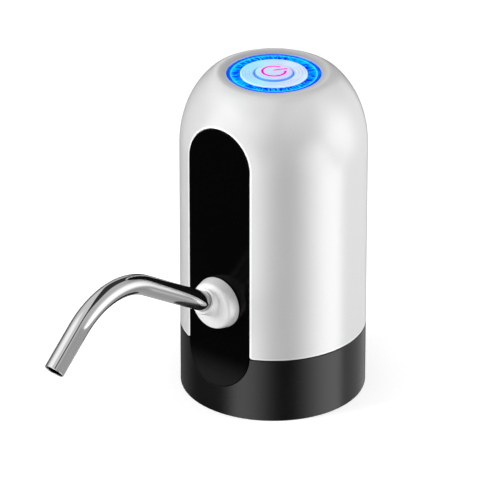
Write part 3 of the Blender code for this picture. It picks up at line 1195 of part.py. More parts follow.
def make_top():
    ring_inner = LENS_RADIUS + GAP
    profile = [(ring_inner, LIGHT_RING_TOP), (LIGHT_RING_RADIUS, LIGHT_RING_TOP)]
    profile += [(LIGHT_RING_RADIUS, LIGHT_FLANGE_TOP), (LIGHT_FLANGE_RADIUS, LIGHT_FLANGE_TOP)]
    profile += [(LIGHT_FLANGE_RADIUS, LIGHT_FLANGE_BOTTOM), (ring_inner, LIGHT_FLANGE_BOTTOM)]
    finish(turned(profile, ROUND), "light_ring", CLEAR_BLUE)

    lens = ring(LENS_BORE, LENS_RADIUS, LENS_BOTTOM, LENS_TOP)
    finish(turned(lens, ROUND), "top_lens", PALE_LENS)

    crown = BUTTON_TOP - BUTTON_CROWN
    stem_bottom = PLUNGER_TOP + GAP
    profile = [(0, BUTTON_TOP), (BUTTON_RADIUS / 2, BUTTON_TOP - BUTTON_CROWN / 4)]
    profile += [(BUTTON_RADIUS - BUTTON_CROWN, crown), (BUTTON_RADIUS, crown - BUTTON_CROWN)]
    profile += [(BUTTON_RADIUS, BUTTON_FLANGE_TOP), (BUTTON_FLANGE_RADIUS, BUTTON_FLANGE_TOP)]
    profile += [(BUTTON_FLANGE_RADIUS, BUTTON_BOTTOM), (BUTTON_RADIUS - WALL / 2, BUTTON_BOTTOM)]
    profile += [(BUTTON_RADIUS - WALL / 2, crown - WALL / 2), (BUTTON_STEM_RADIUS, crown - WALL / 2)]
    profile += [(BUTTON_STEM_RADIUS, stem_bottom), (0, stem_bottom)]
    finish(turned(profile, ROUND), "power_button", PALE_LENS)

    inner_wall = BUTTON_FLANGE_RADIUS + GAP
    outer_inside = CARRIER_RADIUS - CARRIER_WALL
    carrier = turned(disc(CARRIER_RADIUS, CARRIER_BOTTOM, CARRIER_TOP), ROUND)
    well = turned(disc(outer_inside, CARRIER_FLOOR_TOP, CARRIER_TOP + OVERRUN), ROUND, is_cutter=True)
    ear_bottom = CARRIER_TOP - CARRIER_EAR_DROP
    ear_top = ear_bottom + CARRIER_EAR_THICKNESS
    for angle, x, y in around(CARRIER_SCREW_COUNT, CARRIER_EAR_CIRCLE, math.pi / 2):
        ear = upright(disc(CARRIER_EAR_RADIUS, ear_bottom, ear_top), x, y)
        web = block(
            (outer_inside, -CARRIER_EAR_RADIUS / 2, ear_bottom),
            (CARRIER_EAR_CIRCLE, CARRIER_EAR_RADIUS / 2, ear_top),
            turn=(0, 0, angle),
            is_cutter=True,
        )
        hole = upright(disc(CARRIER_SCREW_RADIUS + GAP, ear_bottom - OVERRUN, ear_top + OVERRUN), x, y)
        join(carrier, ear, web, solver=MANY_CUTS)
        cut(carrier, hole, solver=MANY_CUTS)
    cut(carrier, well, solver=MANY_CUTS)
    post_top = LENS_BOTTOM - GAP
    post = turned(
        ring(inner_wall, inner_wall + CARRIER_WALL, CARRIER_FLOOR_TOP - GAP, post_top),
        ROUND,
        is_cutter=True,
    )
    join(carrier, post, solver=MANY_CUTS)
    finish(carrier, "light_carrier", WHITE_PLASTIC)

    board = turned(disc(BUTTON_FLANGE_RADIUS, TOP_BOARD_BOTTOM, TOP_BOARD_TOP), ROUND)
    finish(board, "button_board", BOARD_GREEN)
    half = SWITCH_SIZE / 2
    switch = block((-half, -half, SWITCH_BOTTOM), (half, half, SWITCH_TOP))
    plunger_well = upright(
        disc(PLUNGER_RADIUS + GAP, PLUNGER_BOTTOM - BUTTON_TRAVEL, SWITCH_TOP + OVERRUN)
    )
    cut(switch, plunger_well)
    finish(switch, "tact_switch", BLACK_SATIN)
    plunger = turned(disc(PLUNGER_RADIUS, PLUNGER_BOTTOM, PLUNGER_TOP), TINY)
    finish(plunger, "tact_plunger", MAGNET_GREY)

    led_circle = (inner_wall + CARRIER_WALL + outer_inside) / 2
    for k, (angle, x, y) in enumerate(around(LED_COUNT, led_circle, math.pi / LED_COUNT), 1):
        led = block(
            (-LED_WIDTH / 2, -LED_LENGTH / 2, CARRIER_FLOOR_TOP + GAP),
            (LED_WIDTH / 2, LED_LENGTH / 2, CARRIER_FLOOR_TOP + GAP + LED_HEIGHT),
            turn=(0, 0, angle),
            place=(x, y, 0),
        )
        finish(led, f"ring_led_{k}", MILKY)

    for k, (_, x, y) in enumerate(around(CARRIER_SCREW_COUNT, CARRIER_EAR_CIRCLE, math.pi / 2), 1):
        seat = CARRIER_TOP - CARRIER_EAR_DROP - GAP
        pan = seat - CARRIER_SCREW_HEAD
        tip = TOP_UNDERSIDE - WALL - GAP
        profile = [(0, tip), (CARRIER_SCREW_RADIUS, tip - GAP), (CARRIER_SCREW_RADIUS, seat)]
        profile += [(CARRIER_SCREW_HEAD_RADIUS, seat), (CARRIER_SCREW_HEAD_RADIUS, pan), (0, pan)]
        finish(turned(profile, TINY, (x, y, 0)), f"carrier_screw_{k}", STEEL)


def bend_through(points, steps):
    """Smooth curve through a few points."""
    padded = [points[0] * 2 - points[1]] + points + [points[-1] * 2 - points[-2]]
    path = []
    for a, b, c, d in zip(padded, padded[1:], padded[2:], padded[3:]):
        for k in range(steps):
            t = k / steps
            leave = (c - a) / 2
            arrive = (d - b) / 2
            blend = t**2 * (3 - 2 * t)
            path.append(b + (c - b) * blend + (leave * (1 - t) - arrive * t) * (t * (1 - t)))
    return path + [points[-1]]


def lane_to_board(lane):
    """Last points of a wire that comes down on the face of the main board."""
    face = BOARD_BACK - GAP * 2 - WIRE_RADIUS
    return [
        Vector((lane, face - WIRE_STUB, MOTOR_TOP)),
        Vector((lane, face, BOARD_TOP + WIRE_STUB)),
        Vector((lane, face, BOARD_TOP - WIRE_STUB / 2)),
    ]


def make_wires():
    lift = WIRE_RADIUS + GAP
    cell = Vector((CELL_SIDE, -CELL_FORWARD, CELL_TOP + lift))
    terminal_top = MOTOR_TOP - MOTOR_SHEET + TERMINAL_LENGTH
    terminals = [
        [
            Vector((side * TERMINAL_SPREAD, PUMP_BACK, terminal_top + lift)),
            Vector((side * TERMINAL_SPREAD, PUMP_BACK + WIRE_STUB, terminal_top + WIRE_STUB)),
        ]
        for side in (-1, 1)
    ]
    battery = [
        cell,
        cell + Vector((-WIRE_STUB / 2, WIRE_STUB, WIRE_STUB)),
        Vector((*BATTERY_WIRE_CORNER, CELL_TOP)),
    ]
    cable = [
        Vector((0, BUTTON_RADIUS, CARRIER_BOTTOM - lift)),
        Vector((0, PUMP_BACK * 2, CARRIER_BOTTOM - WIRE_STUB)),
    ]
    routes = (
        ("battery_wire", WIRE_RED, battery + lane_to_board(BATTERY_WIRE_LANE)[1:]),
        ("motor_wire_left", WIRE_BLACK, terminals[0] + lane_to_board(MOTOR_WIRE_LEFT_LANE)),
        ("motor_wire_right", WIRE_RED, terminals[1] + lane_to_board(MOTOR_WIRE_RIGHT_LANE)),
        ("button_cable", WIRE_RED, cable + lane_to_board(BUTTON_CABLE_LANE)),
    )
    for name, look, points in routes:
        wire = as_mesh(swept(bend_through(points, WIRE_STEPS), WIRE_RADIUS, WIRE_ROUNDNESS), (0, 0, 0))
        finish(wire, name, look)


shared_pocket, shared_port = make_outer_shell()
make_base_skirt(shared_pocket)
make_front_panel(shared_port)
make_neck_grip_ring()
make_inlet()
make_outlet()
make_spout()
make_pump()
make_wobble_drive()
make_motor()
make_inner_frame()
make_battery_cell()
make_main_board()
make_top()
make_wires()
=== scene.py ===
import json
import math

import bmesh
import bpy
from mathutils import Matrix, Vector


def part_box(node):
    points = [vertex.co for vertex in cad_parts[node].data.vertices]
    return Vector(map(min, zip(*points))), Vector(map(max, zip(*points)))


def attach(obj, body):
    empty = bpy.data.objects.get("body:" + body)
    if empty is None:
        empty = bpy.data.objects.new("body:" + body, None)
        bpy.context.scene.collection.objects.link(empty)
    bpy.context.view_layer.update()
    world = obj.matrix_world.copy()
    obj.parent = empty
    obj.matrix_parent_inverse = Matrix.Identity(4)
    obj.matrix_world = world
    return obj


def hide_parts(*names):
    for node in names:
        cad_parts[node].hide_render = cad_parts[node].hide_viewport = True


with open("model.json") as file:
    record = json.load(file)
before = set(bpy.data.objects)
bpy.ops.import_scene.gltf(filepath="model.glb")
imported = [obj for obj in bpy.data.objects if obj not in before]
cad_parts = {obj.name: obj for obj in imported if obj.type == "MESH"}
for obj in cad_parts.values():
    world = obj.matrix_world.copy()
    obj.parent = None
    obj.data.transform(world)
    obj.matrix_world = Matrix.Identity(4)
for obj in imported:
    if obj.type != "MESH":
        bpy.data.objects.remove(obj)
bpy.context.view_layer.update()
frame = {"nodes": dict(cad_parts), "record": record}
nodes = frame["nodes"]

UP = Vector((0, 0, 1))
FRONT = Vector((0, -1, 0))
SIDE = Vector((1, 0, 0))

# Places and sizes that the CAD frame gives, in metres
skirt_low, skirt_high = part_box("base_skirt")
AXIS = Vector((0, (skirt_low.y + skirt_high.y) / 2, 0))
BODY_RADIUS = skirt_high.x
SHELL_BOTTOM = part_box("outer_shell")[0].z
BUTTON_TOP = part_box("power_button")[1].z
LENS_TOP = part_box("top_lens")[1].z
RING_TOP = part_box("light_ring")[1].z

# Sizes that pieces share, in metres from the pump's axis and its foot
CLEARANCE = 0.0003
WELD = 0.000005
SLIVER = 0.00004
BODY_STEPS = 176
PANEL_STEPS = 160
PANEL_FRONT = 0.0344
PANEL_BACK = 0.0329
PANEL_HALF = 0.015
PANEL_LOW_CENTRE = 0.02725
PANEL_HIGH_CENTRE = 0.1082
PANEL_SIDE_LIMIT = -0.02
POCKET_HALF = PANEL_HALF + CLEARANCE
SCOOP_START = 0.0272
SCOOP_RADIUS = 0.0376
PORT = AXIS + UP * 0.0483
PORT_HOLE = 0.0075
PORT_HOLE_REACH = (0.02, 0.04)
PIPE_ROOT = PORT + FRONT * 0.03756
PIPE_RISE = math.radians(30.9)
PIPE_TURN = math.radians(71.2)
ALONG_PIPE = FRONT * math.cos(PIPE_RISE) + UP * math.sin(PIPE_RISE)
ACROSS_PIPE = UP * math.cos(PIPE_RISE) - FRONT * math.sin(PIPE_RISE)
DOWN_PIPE = ALONG_PIPE * math.cos(PIPE_TURN) - ACROSS_PIPE * math.sin(PIPE_TURN)
TOP_HOLE = 0.0189
POCKET_EDGE = 0.0002
ICON_RELIEF = 0.00005

# Where the photograph was taken from, turned from the pump's front to its right
VIEW_AZIMUTH = math.radians(38.6)
VIEW_ELEVATION = math.radians(26.4771)


def towards(azimuth, elevation=0.0):
    """Unit direction from the pump to an azimuth and an elevation."""
    level = math.cos(elevation)
    return Vector((math.sin(azimuth) * level, -math.cos(azimuth) * level, math.sin(elevation)))


def right_of(azimuth):
    """Level direction to the right, seen from an azimuth."""
    return Vector((math.cos(azimuth), math.sin(azimuth), 0))


# Modelling by hand: one object at a time, picked and shaped in edit mode


def only(obj):
    bpy.ops.object.select_all(action="DESELECT")
    obj.select_set(True)
    bpy.context.view_layer.objects.active = obj


def open_edit(obj):
    only(obj)
    bpy.ops.object.mode_set(mode="EDIT")
    bpy.ops.mesh.select_mode(type="VERT")
    bpy.ops.mesh.select_all(action="DESELECT")


def close_edit():
    bpy.ops.object.mode_set(mode="OBJECT")


def pick(obj, kind, test):
    """Select the corners, edges or faces of an open mesh that pass a test."""
    bpy.ops.mesh.select_mode(type=kind)
    bpy.ops.mesh.select_all(action="DESELECT")
    mesh = bmesh.from_edit_mesh(obj.data)
    parts = {"VERT": mesh.verts, "EDGE": mesh.edges, "FACE": mesh.faces}[kind]
    for part in parts:
        if test(part):
            part.select_set(True)
    bmesh.update_edit_mesh(obj.data)


def pick_all():
    bpy.ops.mesh.select_all(action="SELECT")


def extrude(travel):
    bpy.ops.mesh.extrude_region_move(TRANSFORM_OT_translate={"value": travel})


def settle(obj, name):
    """Name a fresh object and move its place into its mesh."""
    obj.name = obj.data.name = name
    only(obj)
    bpy.ops.object.transform_apply(location=True, rotation=True, scale=True)
    return obj


def drawn(name, points):
    """Start a shape as a line of edges through points, left open for editing."""
    bpy.ops.mesh.primitive_plane_add(size=0.001, location=points[0])
    obj = settle(bpy.context.object, name)
    open_edit(obj)
    pick_all()
    bpy.ops.mesh.merge(type="CENTER")
    for here, there in zip(points, points[1:]):
        extrude(there - here)
    return obj


def close_welded():
    """Merge the doubles of the open mesh, point its faces outwards and close it."""
    pick_all()
    bpy.ops.mesh.remove_doubles(threshold=WELD)
    bpy.ops.mesh.normals_make_consistent(inside=False)
    close_edit()


def turned(name, profile, steps, foot=AXIS, axis=UP, out=SIDE):
    """Turn a profile of (radius, height) points right round an axis."""
    points = [foot + out * radius + axis * height for radius, height in profile]
    obj = drawn(name, points)
    pick_all()
    bpy.ops.mesh.spin(steps=steps, angle=math.tau, center=foot, axis=axis)
    close_welded()
    return obj


def rod(name, radius, start, end, steps, foot=AXIS, axis=UP, out=SIDE):
    profile = [(0, start), (radius, start), (radius, end), (0, end)]
    return turned(name, profile, steps, foot, axis, out)


def band(name, inner, outer, bottom, top):
    """A plain ring about the pump's axis."""
    profile = [(inner, bottom), (outer, bottom), (outer, top), (inner, top), (inner, bottom)]
    return turned(name, profile, BODY_STEPS)


def drawn_out(name, outline, travel):
    """Close an outline into a face and extrude it by travel."""
    obj = drawn(name, outline)
    pick_all()
    bpy.ops.mesh.edge_face_add()
    extrude(travel)
    close_welded()
    return obj


def slot_block(name, half, back, front):
    """A block with round ends top and bottom, in the place of the front panel."""
    bpy.ops.mesh.primitive_cylinder_add(
        vertices=PANEL_STEPS,
        radius=half,
        depth=front - back,
        location=AXIS + FRONT * (back + front) / 2 + UP * PANEL_LOW_CENTRE,
        rotation=(math.pi / 2, 0, 0),
    )
    obj = settle(bpy.context.object, name)
    open_edit(obj)
    pick(obj, "VERT", lambda v: v.co.z > PANEL_LOW_CENTRE + WELD)
    bpy.ops.transform.translate(value=(0, 0, PANEL_HIGH_CENTRE - PANEL_LOW_CENTRE))
    close_welded()
    return obj


def box(name, low, high, place=AXIS):
    """A block between two corners, both given from a place."""
    bpy.ops.mesh.primitive_cube_add(size=1)
    obj = bpy.context.object
    obj.location = place + (Vector(low) + Vector(high)) / 2
    obj.scale = Vector(high) - Vector(low)
    return settle(obj, name)


def places_round(count, radius, start):
    """Places spaced evenly round the pump's axis."""
    for k in range(count):
        angle = start + math.tau * k / count
        yield AXIS + Vector((math.cos(angle), math.sin(angle), 0)) * radius


def apply(obj, modifier):
    only(obj)
    bpy.ops.object.modifier_apply(modifier=modifier.name)


def combine(obj, tool, operation="DIFFERENCE"):
    """Join a tool to a piece, or cut it away, and use the tool up."""
    modifier = obj.modifiers.new("combine", "BOOLEAN")
    modifier.object = tool
    modifier.operation = operation
    modifier.solver = "EXACT"
    apply(obj, modifier)
    bpy.data.objects.remove(tool)


def round_edges(obj, width, segments, test, clamp=True):
    """Bevel the edges of a finished solid that pass a test."""
    open_edit(obj)
    if not clamp:
        pick_all()
        bpy.ops.mesh.dissolve_degenerate(threshold=SLIVER)
    pick(obj, "EDGE", test)
    bpy.ops.mesh.bevel(offset=width, segments=segments, affect="EDGES", clamp_overlap=clamp)
    close_edit()


def smooth(obj, degrees):
    """Smooth shading with sharp edges kept, and even shading on the flat faces."""
    only(obj)
    bpy.ops.object.shade_smooth_by_angle(angle=math.radians(degrees))
    modifier = obj.modifiers.new("even", "WEIGHTED_NORMAL")
    modifier.keep_sharp = True
    modifier.weight = 80
    apply(obj, modifier)


def turn(obj, angle, centre):
    """Turn a finished solid about an upright line."""
    open_edit(obj)
    pick_all()
    bpy.ops.transform.rotate(value=angle, orient_axis="Z", center_override=centre)
    close_edit()


def arc(centre, reach, rise, start, end, steps):
    """Points along part of an upright ellipse."""
    points = []
    for k in range(steps + 1):
        angle = start + (end - start) * k / steps
        points.append((centre[0] + reach * math.cos(angle), centre[1] + rise * math.sin(angle)))
    return points


def below(top, points):
    """A profile given by radius and depth below a top."""
    return [(radius, top - depth) for radius, depth in points]


def finished(obj, body, material, slot, *replaced, degrees=35):
    """Shade and coat a piece, tie it to its body and hide the CAD nodes it stands for; the slot is not used.
    """
    smooth(obj, degrees)
    obj.data.materials.clear()
    obj.data.materials.append(material)
    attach(obj, body)
    if replaced:
        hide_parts(*replaced)


# Shader nodes, and node groups shared by the finishes


def feed(tree, value, socket):
    """Link an output to a socket, or give the socket a plain value or a colour."""
    if isinstance(value, bpy.types.NodeSocket):
        tree.links.new(value, socket)
    elif socket.type == "RGBA":
        socket.default_value = (*value, 1.0)
    else:
        socket.default_value = value


def feed_each(tree, values, sockets):
    for value, socket in zip(values, sockets):
        feed(tree, value, socket)


def feed_named(tree, values, sockets):
    for label, value in values.items():
        feed(tree, value, sockets[label.replace("_", " ")])


def node(tree, kind, **settings):
    made = tree.nodes.new("ShaderNode" + kind)
    for key, value in settings.items():
        setattr(made, key, value)
    return made


def math_node(tree, operation, first, second=0.0, third=0.0, clamp=False):
    made = node(tree, "Math", operation=operation, use_clamp=clamp)
    feed_each(tree, (first, second, third), made.inputs)
    return made.outputs[0]


def product(tree, first, *others):
    for other in others:
        first = math_node(tree, "MULTIPLY", first, other)
    return first


def vector_node(tree, operation, first, second=None, output="Vector"):
    made = node(tree, "VectorMath", operation=operation)
    feed(tree, first, made.inputs[0])
    if second is not None:
        feed(tree, second, made.inputs[1])
    return made.outputs[output]


def mix_colour(tree, factor, first, second):
    made = node(tree, "Mix", data_type="RGBA")
    feed_each(tree, (factor, first, second), (made.inputs[0], made.inputs[6], made.inputs[7]))
    return made.outputs[2]


def noise(tree, vector, scale, detail=2.0, roughness=0.5):
    made = node(tree, "TexNoise")
    given = {"Vector": vector, "Scale": scale, "Detail": detail, "Roughness": roughness}
    feed_named(tree, given, made.inputs)
    return made.outputs["Fac"]


def spread(tree, value, low, high, to_low=0.0, to_high=1.0, curve="LINEAR"):
    """Map the range from low to high on the range from to_low to to_high."""
    made = node(tree, "MapRange", interpolation_type=curve)
    feed_each(tree, (value, low, high, to_low, to_high), made.inputs)
    return made.outputs["Result"]


def ease(tree, value, low, high, to_low=0.0, to_high=1.0):
    return spread(tree, value, low, high, to_low, to_high, "SMOOTHSTEP")


def new_group(name, inputs, outputs):
    """An empty node group, its inner input values and its inner output sockets."""
    tree = bpy.data.node_groups.new(name, "ShaderNodeTree")
    for label, kind, value in inputs:
        socket = tree.interface.new_socket(name=label, in_out="INPUT", socket_type="NodeSocket" + kind)
        if value is not None:
            socket.default_value = value
    for label, kind in outputs:
        tree.interface.new_socket(name=label, in_out="OUTPUT", socket_type="NodeSocket" + kind)
    return tree, tree.nodes.new("NodeGroupInput").outputs, tree.nodes.new("NodeGroupOutput").inputs


def moulded_skin():
    """Fine moulding grain, slow gloss changes and a slight tone change of a plastic."""
    tree, given, out = new_group(
        "moulded_skin",
        [
            ("Vector", "Vector", None),
            ("Colour", "Color", (0.8, 0.8, 0.8, 1)),
            ("Tone", "Color", (0.7, 0.7, 0.7, 1)),
            ("Grain Scale", "Float", 2600.0),
            ("Roughness", "Float", 0.3),
            ("Gloss Change", "Float", 0.05),
        ],
        [("Colour", "Color"), ("Roughness", "Float"), ("Height", "Float")],
    )
    grain = noise(tree, given["Vector"], given["Grain Scale"], detail=3.0)
    handled = ease(tree, noise(tree, given["Vector"], 38.0, detail=4.0), 0.35, 0.7, -1.0, 1.0)
    change = product(tree, handled, given["Gloss Change"])
    gloss = math_node(tree, "ADD", given["Roughness"], change, clamp=True)
    flow = ease(tree, noise(tree, given["Vector"], 17.0), 0.4, 0.75)
    feed_each(tree, (mix_colour(tree, flow, given["Colour"], given["Tone"]), gloss, grain), out)
    return tree


def worked_metal():
    """Drawing marks along one direction of a metal, with a slow change of gloss."""
    tree, given, out = new_group(
        "worked_metal",
        [("Vector", "Vector", None), ("Roughness", "Float", 0.3), ("Marks", "Float", 0.1)],
        [("Roughness", "Float"), ("Height", "Float"), ("Stain", "Float")],
    )
    lines = noise(tree, given["Vector"], 1.0, detail=4.0, roughness=0.6)
    change = product(tree, spread(tree, lines, 0.3, 0.7, -0.5, 0.5), given["Marks"])
    gloss = math_node(tree, "ADD", given["Roughness"], change, clamp=True)
    stain = spread(tree, noise(tree, given["Vector"], 0.12, detail=3.0), 0.45, 0.8)
    feed_each(tree, (gloss, lines, stain), out)
    return tree


def polar_place():
    """Radius, direction and place across the view about the pump's axis, in millimetres."""
    tree, given, out = new_group(
        "polar_place",
        [("Vector", "Vector", None)],
        [("Radius", "Float"), ("Direction", "Vector"), ("Across", "Float")],
    )
    flat = vector_node(tree, "MULTIPLY", given["Vector"], (1000, 1000, 0))
    radius = vector_node(tree, "LENGTH", flat, output="Value")
    direction = vector_node(tree, "NORMALIZE", flat)
    across = vector_node(tree, "DOT_PRODUCT", flat, right_of(VIEW_AZIMUTH), "Value")
    feed_each(tree, (radius, direction, across), out)
    return tree


SKIN = moulded_skin()
METAL = worked_metal()
POLAR = polar_place()


def object_place(tree, stretch=(1, 1, 1), centre=(0, 0, 0)):
    """Object coordinates from a centre, stretched."""
    mapping = node(tree, "Mapping")
    mapping.inputs["Location"].default_value = [-c * s for c, s in zip(centre, stretch)]
    mapping.inputs["Scale"].default_value = stretch
    feed(tree, node(tree, "TexCoord").outputs["Object"], mapping.inputs["Vector"])
    return mapping.outputs["Vector"]


class Finish:
    """A material under construction: its tree, its shader and its object coordinates."""

    def __init__(self, name, stretch=(1, 1, 1), centre=(0, 0, 0)):
        self.material = bpy.data.materials.new(name)
        self.material.use_nodes = True
        self.tree = self.material.node_tree
        self.shader = self.tree.nodes["Principled BSDF"]
        self.place = object_place(self.tree, stretch, centre)

    def set(self, **values):
        """Give the shader's inputs values or links."""
        feed_named(self.tree, values, self.shader.inputs)

    def group(self, tree, **values):
        made = node(self.tree, "Group", node_tree=tree)
        feed_named(self.tree, values, made.inputs)
        feed(self.tree, self.place, made.inputs["Vector"])
        return made.outputs

    def bump(self, height, strength, distance):
        made = node(self.tree, "Bump")
        given = {"Strength": strength, "Distance": distance, "Height": height}
        feed_named(self.tree, given, made.inputs)
        self.set(Normal=made.outputs["Normal"])


def plastic(name, colour, tone, roughness, change, grain, depth, **values):
    """A moulded piece: colour and second tone, roughness and its change, grain per metre and depth."""
    look = Finish(name)
    skin = look.group(
        SKIN, Colour=colour, Tone=tone, Grain_Scale=grain, Roughness=roughness, Gloss_Change=change
    )
    look.set(Base_Color=skin["Colour"], Roughness=skin["Roughness"], **values)
    look.bump(skin["Height"], 0.25, depth)
    return look.material


def metal(name, colour, stained, roughness, marks, stretch, depth):
    """A worked metal: colour and stain, roughness, its marks and how they lie, and their depth."""
    look = Finish(name, stretch)
    worked = look.group(METAL, Roughness=roughness, Marks=marks)
    tint = mix_colour(look.tree, worked["Stain"], colour, stained)
    look.set(Base_Color=tint, Roughness=worked["Roughness"], Metallic=1.0)
    look.bump(worked["Height"], 0.3, depth)
    return look.material


def lit_plastic(look, colour, glow, specular, grain, roughness, change, relief):
    """Finish a clear piece that glows in its own colour: lamp light in the ring, a painted glow in the lens
    and the button.
    """
    skin = look.group(SKIN, Grain_Scale=grain, Roughness=roughness, Gloss_Change=change)
    look.set(Base_Color=colour, Emission_Color=colour, Roughness=skin["Roughness"])
    look.set(Emission_Strength=glow, Specular_IOR_Level=specular)
    look.bump(skin["Height"], relief, 2e-5)
    return look.material


def lit_ring():
    """Clear blue ring with a dark outer rim, a pale line and dark dashes inside it."""
    look = Finish("lit_ring", centre=AXIS)
    polar = look.group(POLAR)
    tree = look.tree
    radius = polar["Radius"]
    lift = node(tree, "CombineXYZ")
    feed(tree, product(tree, radius, 0.014), lift.inputs["Z"])
    spoke = vector_node(tree, "ADD", polar["Direction"], lift.outputs[0])
    rays = ease(tree, noise(tree, spoke, 19.0, roughness=0.7), 0.455, 0.51)
    patches = ease(tree, noise(tree, spoke, 2.1, detail=1.0), 0.36, 0.5, 0.5, 1.0)
    inner = ease(tree, radius, 15.7, 17.0, 1.0, 0.3)
    dark = math_node(tree, "MULTIPLY", rays, product(tree, patches, inner), clamp=True)
    outwards = spread(tree, radius, 13.7, 17.0)
    glow = mix_colour(tree, outwards, (0.0, 0.2, 0.95), (0.0, 0.45, 1.0))
    flecks = spread(tree, noise(tree, spoke, 41.0, roughness=0.7), 0.48, 0.6, 0.0, 0.75)
    glow = mix_colour(tree, flecks, glow, (0.0, 0.66, 1.0))
    colour = mix_colour(tree, dark, glow, (0.0, 0.02, 0.7))
    line = math_node(tree, "COMPARE", radius, 17.05, 0.16)
    colour = mix_colour(tree, product(tree, line, 0.8), colour, (0.15, 0.55, 1.0))
    rim_tone = mix_colour(tree, patches, (0.0, 0.3, 1.0), (0.0, 0.08, 0.9))
    colour = mix_colour(tree, spread(tree, radius, 17.3, 17.6), colour, rim_tone)
    return lit_plastic(look, colour, 0.45, 0.0, 900.0, 0.16, 0.04, 0.2)


def pale_lens():
    """Milky disc with a painted glow, cyan to the left of the view and painted lavender shade to the right,
    faint lavender rings and a painted blue shadow round the button's seat.
    """
    look = Finish("pale_lens", centre=AXIS)
    polar = look.group(POLAR)
    tree = look.tree
    radius = polar["Radius"]
    # Painted shade: the disc turns lavender towards the right of the view.
    side = ease(tree, polar["Across"], -11.0, 9.0)
    colour = mix_colour(tree, side, (0.3, 0.74, 0.9), (0.6, 0.75, 0.9))
    ripple = spread(tree, math_node(tree, "SINE", product(tree, radius, 4.6)), -0.6, 1.0, 0.0, 0.75)
    cloud = spread(tree, noise(tree, look.place, 120.0, detail=1.0), 0.38, 0.6, 0.15, 1.0)
    colour = mix_colour(tree, product(tree, ripple, cloud), colour, (0.42, 0.45, 0.88))
    edge = ease(tree, radius, 12.6, 13.3, 0.0, 0.6)
    colour = mix_colour(tree, edge, colour, (0.85, 0.97, 1.0))
    # Painted shadow: a blue ring round the button's seat, where the button's shadow and gap fall.
    seat = ease(tree, radius, 7.95, 8.35, 0.8, 0.0)
    colour = mix_colour(tree, seat, colour, (0.08, 0.26, 0.9))
    # The emission here is a painted glow that brightens the disc; the lens is no lamp.
    return lit_plastic(look, colour, 0.21, 0.3, 1200.0, 0.14, 0.03, 0.15)


def button_cap():
    """Milky cap with a painted glow, cyan to the left of the view and painted lavender shade to the right,
    with a painted blue shadow round its side.
    """
    look = Finish("button_cap", centre=AXIS)
    polar = look.group(POLAR)
    tree = look.tree
    # Painted shade: the cap turns lavender towards the right of the view.
    side = ease(tree, polar["Across"], -7.0, 7.0)
    colour = mix_colour(tree, side, (0.42, 0.7, 0.86), (0.62, 0.62, 0.88))
    # Painted shadow: the cap's side wall is blue, as the shadow under its edge.
    flank_shadow = ease(tree, polar["Radius"], 7.1, 7.5)
    colour = mix_colour(tree, flank_shadow, colour, (0.1, 0.33, 0.92))
    # The emission here is a painted glow that brightens the cap; the button is no lamp.
    return lit_plastic(look, colour, 0.21, 0.3, 1500.0, 0.2, 0.03, 0.15)


SHELL_WHITE = plastic(
    "shell_white", (0.66, 0.66, 0.662), (0.656, 0.657, 0.66), 0.32, 0.006, 5200, 2e-6,
    Specular_IOR_Level=0.3, Coat_Weight=1.0, Coat_Roughness=0.28, Coat_IOR=1.8,
)
# The collar's white carries a faint painted glow (white emission) that brightens it as painted light; the
# nipple and the other white CAD nodes share it.
COLLAR_WHITE_GLOW = plastic(
    "collar_white_glow", (0.76, 0.76, 0.76), (0.75, 0.751, 0.753), 0.3, 0.01, 4800, 2e-6,
    Specular_IOR_Level=0.6, Coat_Weight=0.4, Coat_Roughness=0.25,
    Emission_Color=(1, 1, 1), Emission_Strength=0.08,
)
BASE_BLACK = plastic(
    "base_black", (0.0035, 0.0035, 0.0036), (0.0042, 0.0042, 0.0044), 0.27, 0.015, 4200, 3e-6,
    Specular_IOR_Level=0.24,
)
PANEL_BLACK = plastic(
    "panel_black", (0.001, 0.001, 0.001), (0.0014, 0.0014, 0.0015), 0.16, 0.01, 2400, 1e-6,
    Specular_IOR_Level=0.06,
)
RUBBER = plastic("soft_rubber", (0.024, 0.024, 0.025), (0.036, 0.035, 0.034), 0.62, 0.08, 3400, 2e-5)
PIPE_STEEL = metal(
    "pipe_steel", (0.43, 0.43, 0.43), (0.41, 0.41, 0.415), 0.06, 0.02, (900, 90, 90), 3e-7
)
SCREW_STEEL = metal(
    "screw_steel", (0.56, 0.55, 0.54), (0.42, 0.41, 0.4), 0.28, 0.2, (700, 700, 1800), 6e-6
)
MOTOR_STEEL = metal(
    "motor_steel", (0.55, 0.55, 0.56), (0.45, 0.45, 0.46), 0.34, 0.2, (260, 260, 2400), 8e-6
)
LIT_RING = lit_ring()
PALE_LENS = pale_lens()
BUTTON_CAP = button_cap()
ICON_MAGENTA = plastic(
    "icon_magenta", (0.6, 0.0, 0.32), (0.55, 0.0, 0.34), 0.45, 0.04, 1500, 5e-6,
    Emission_Color=(1, 0, 0.6), Emission_Strength=0.6, Specular_IOR_Level=0.0,
)


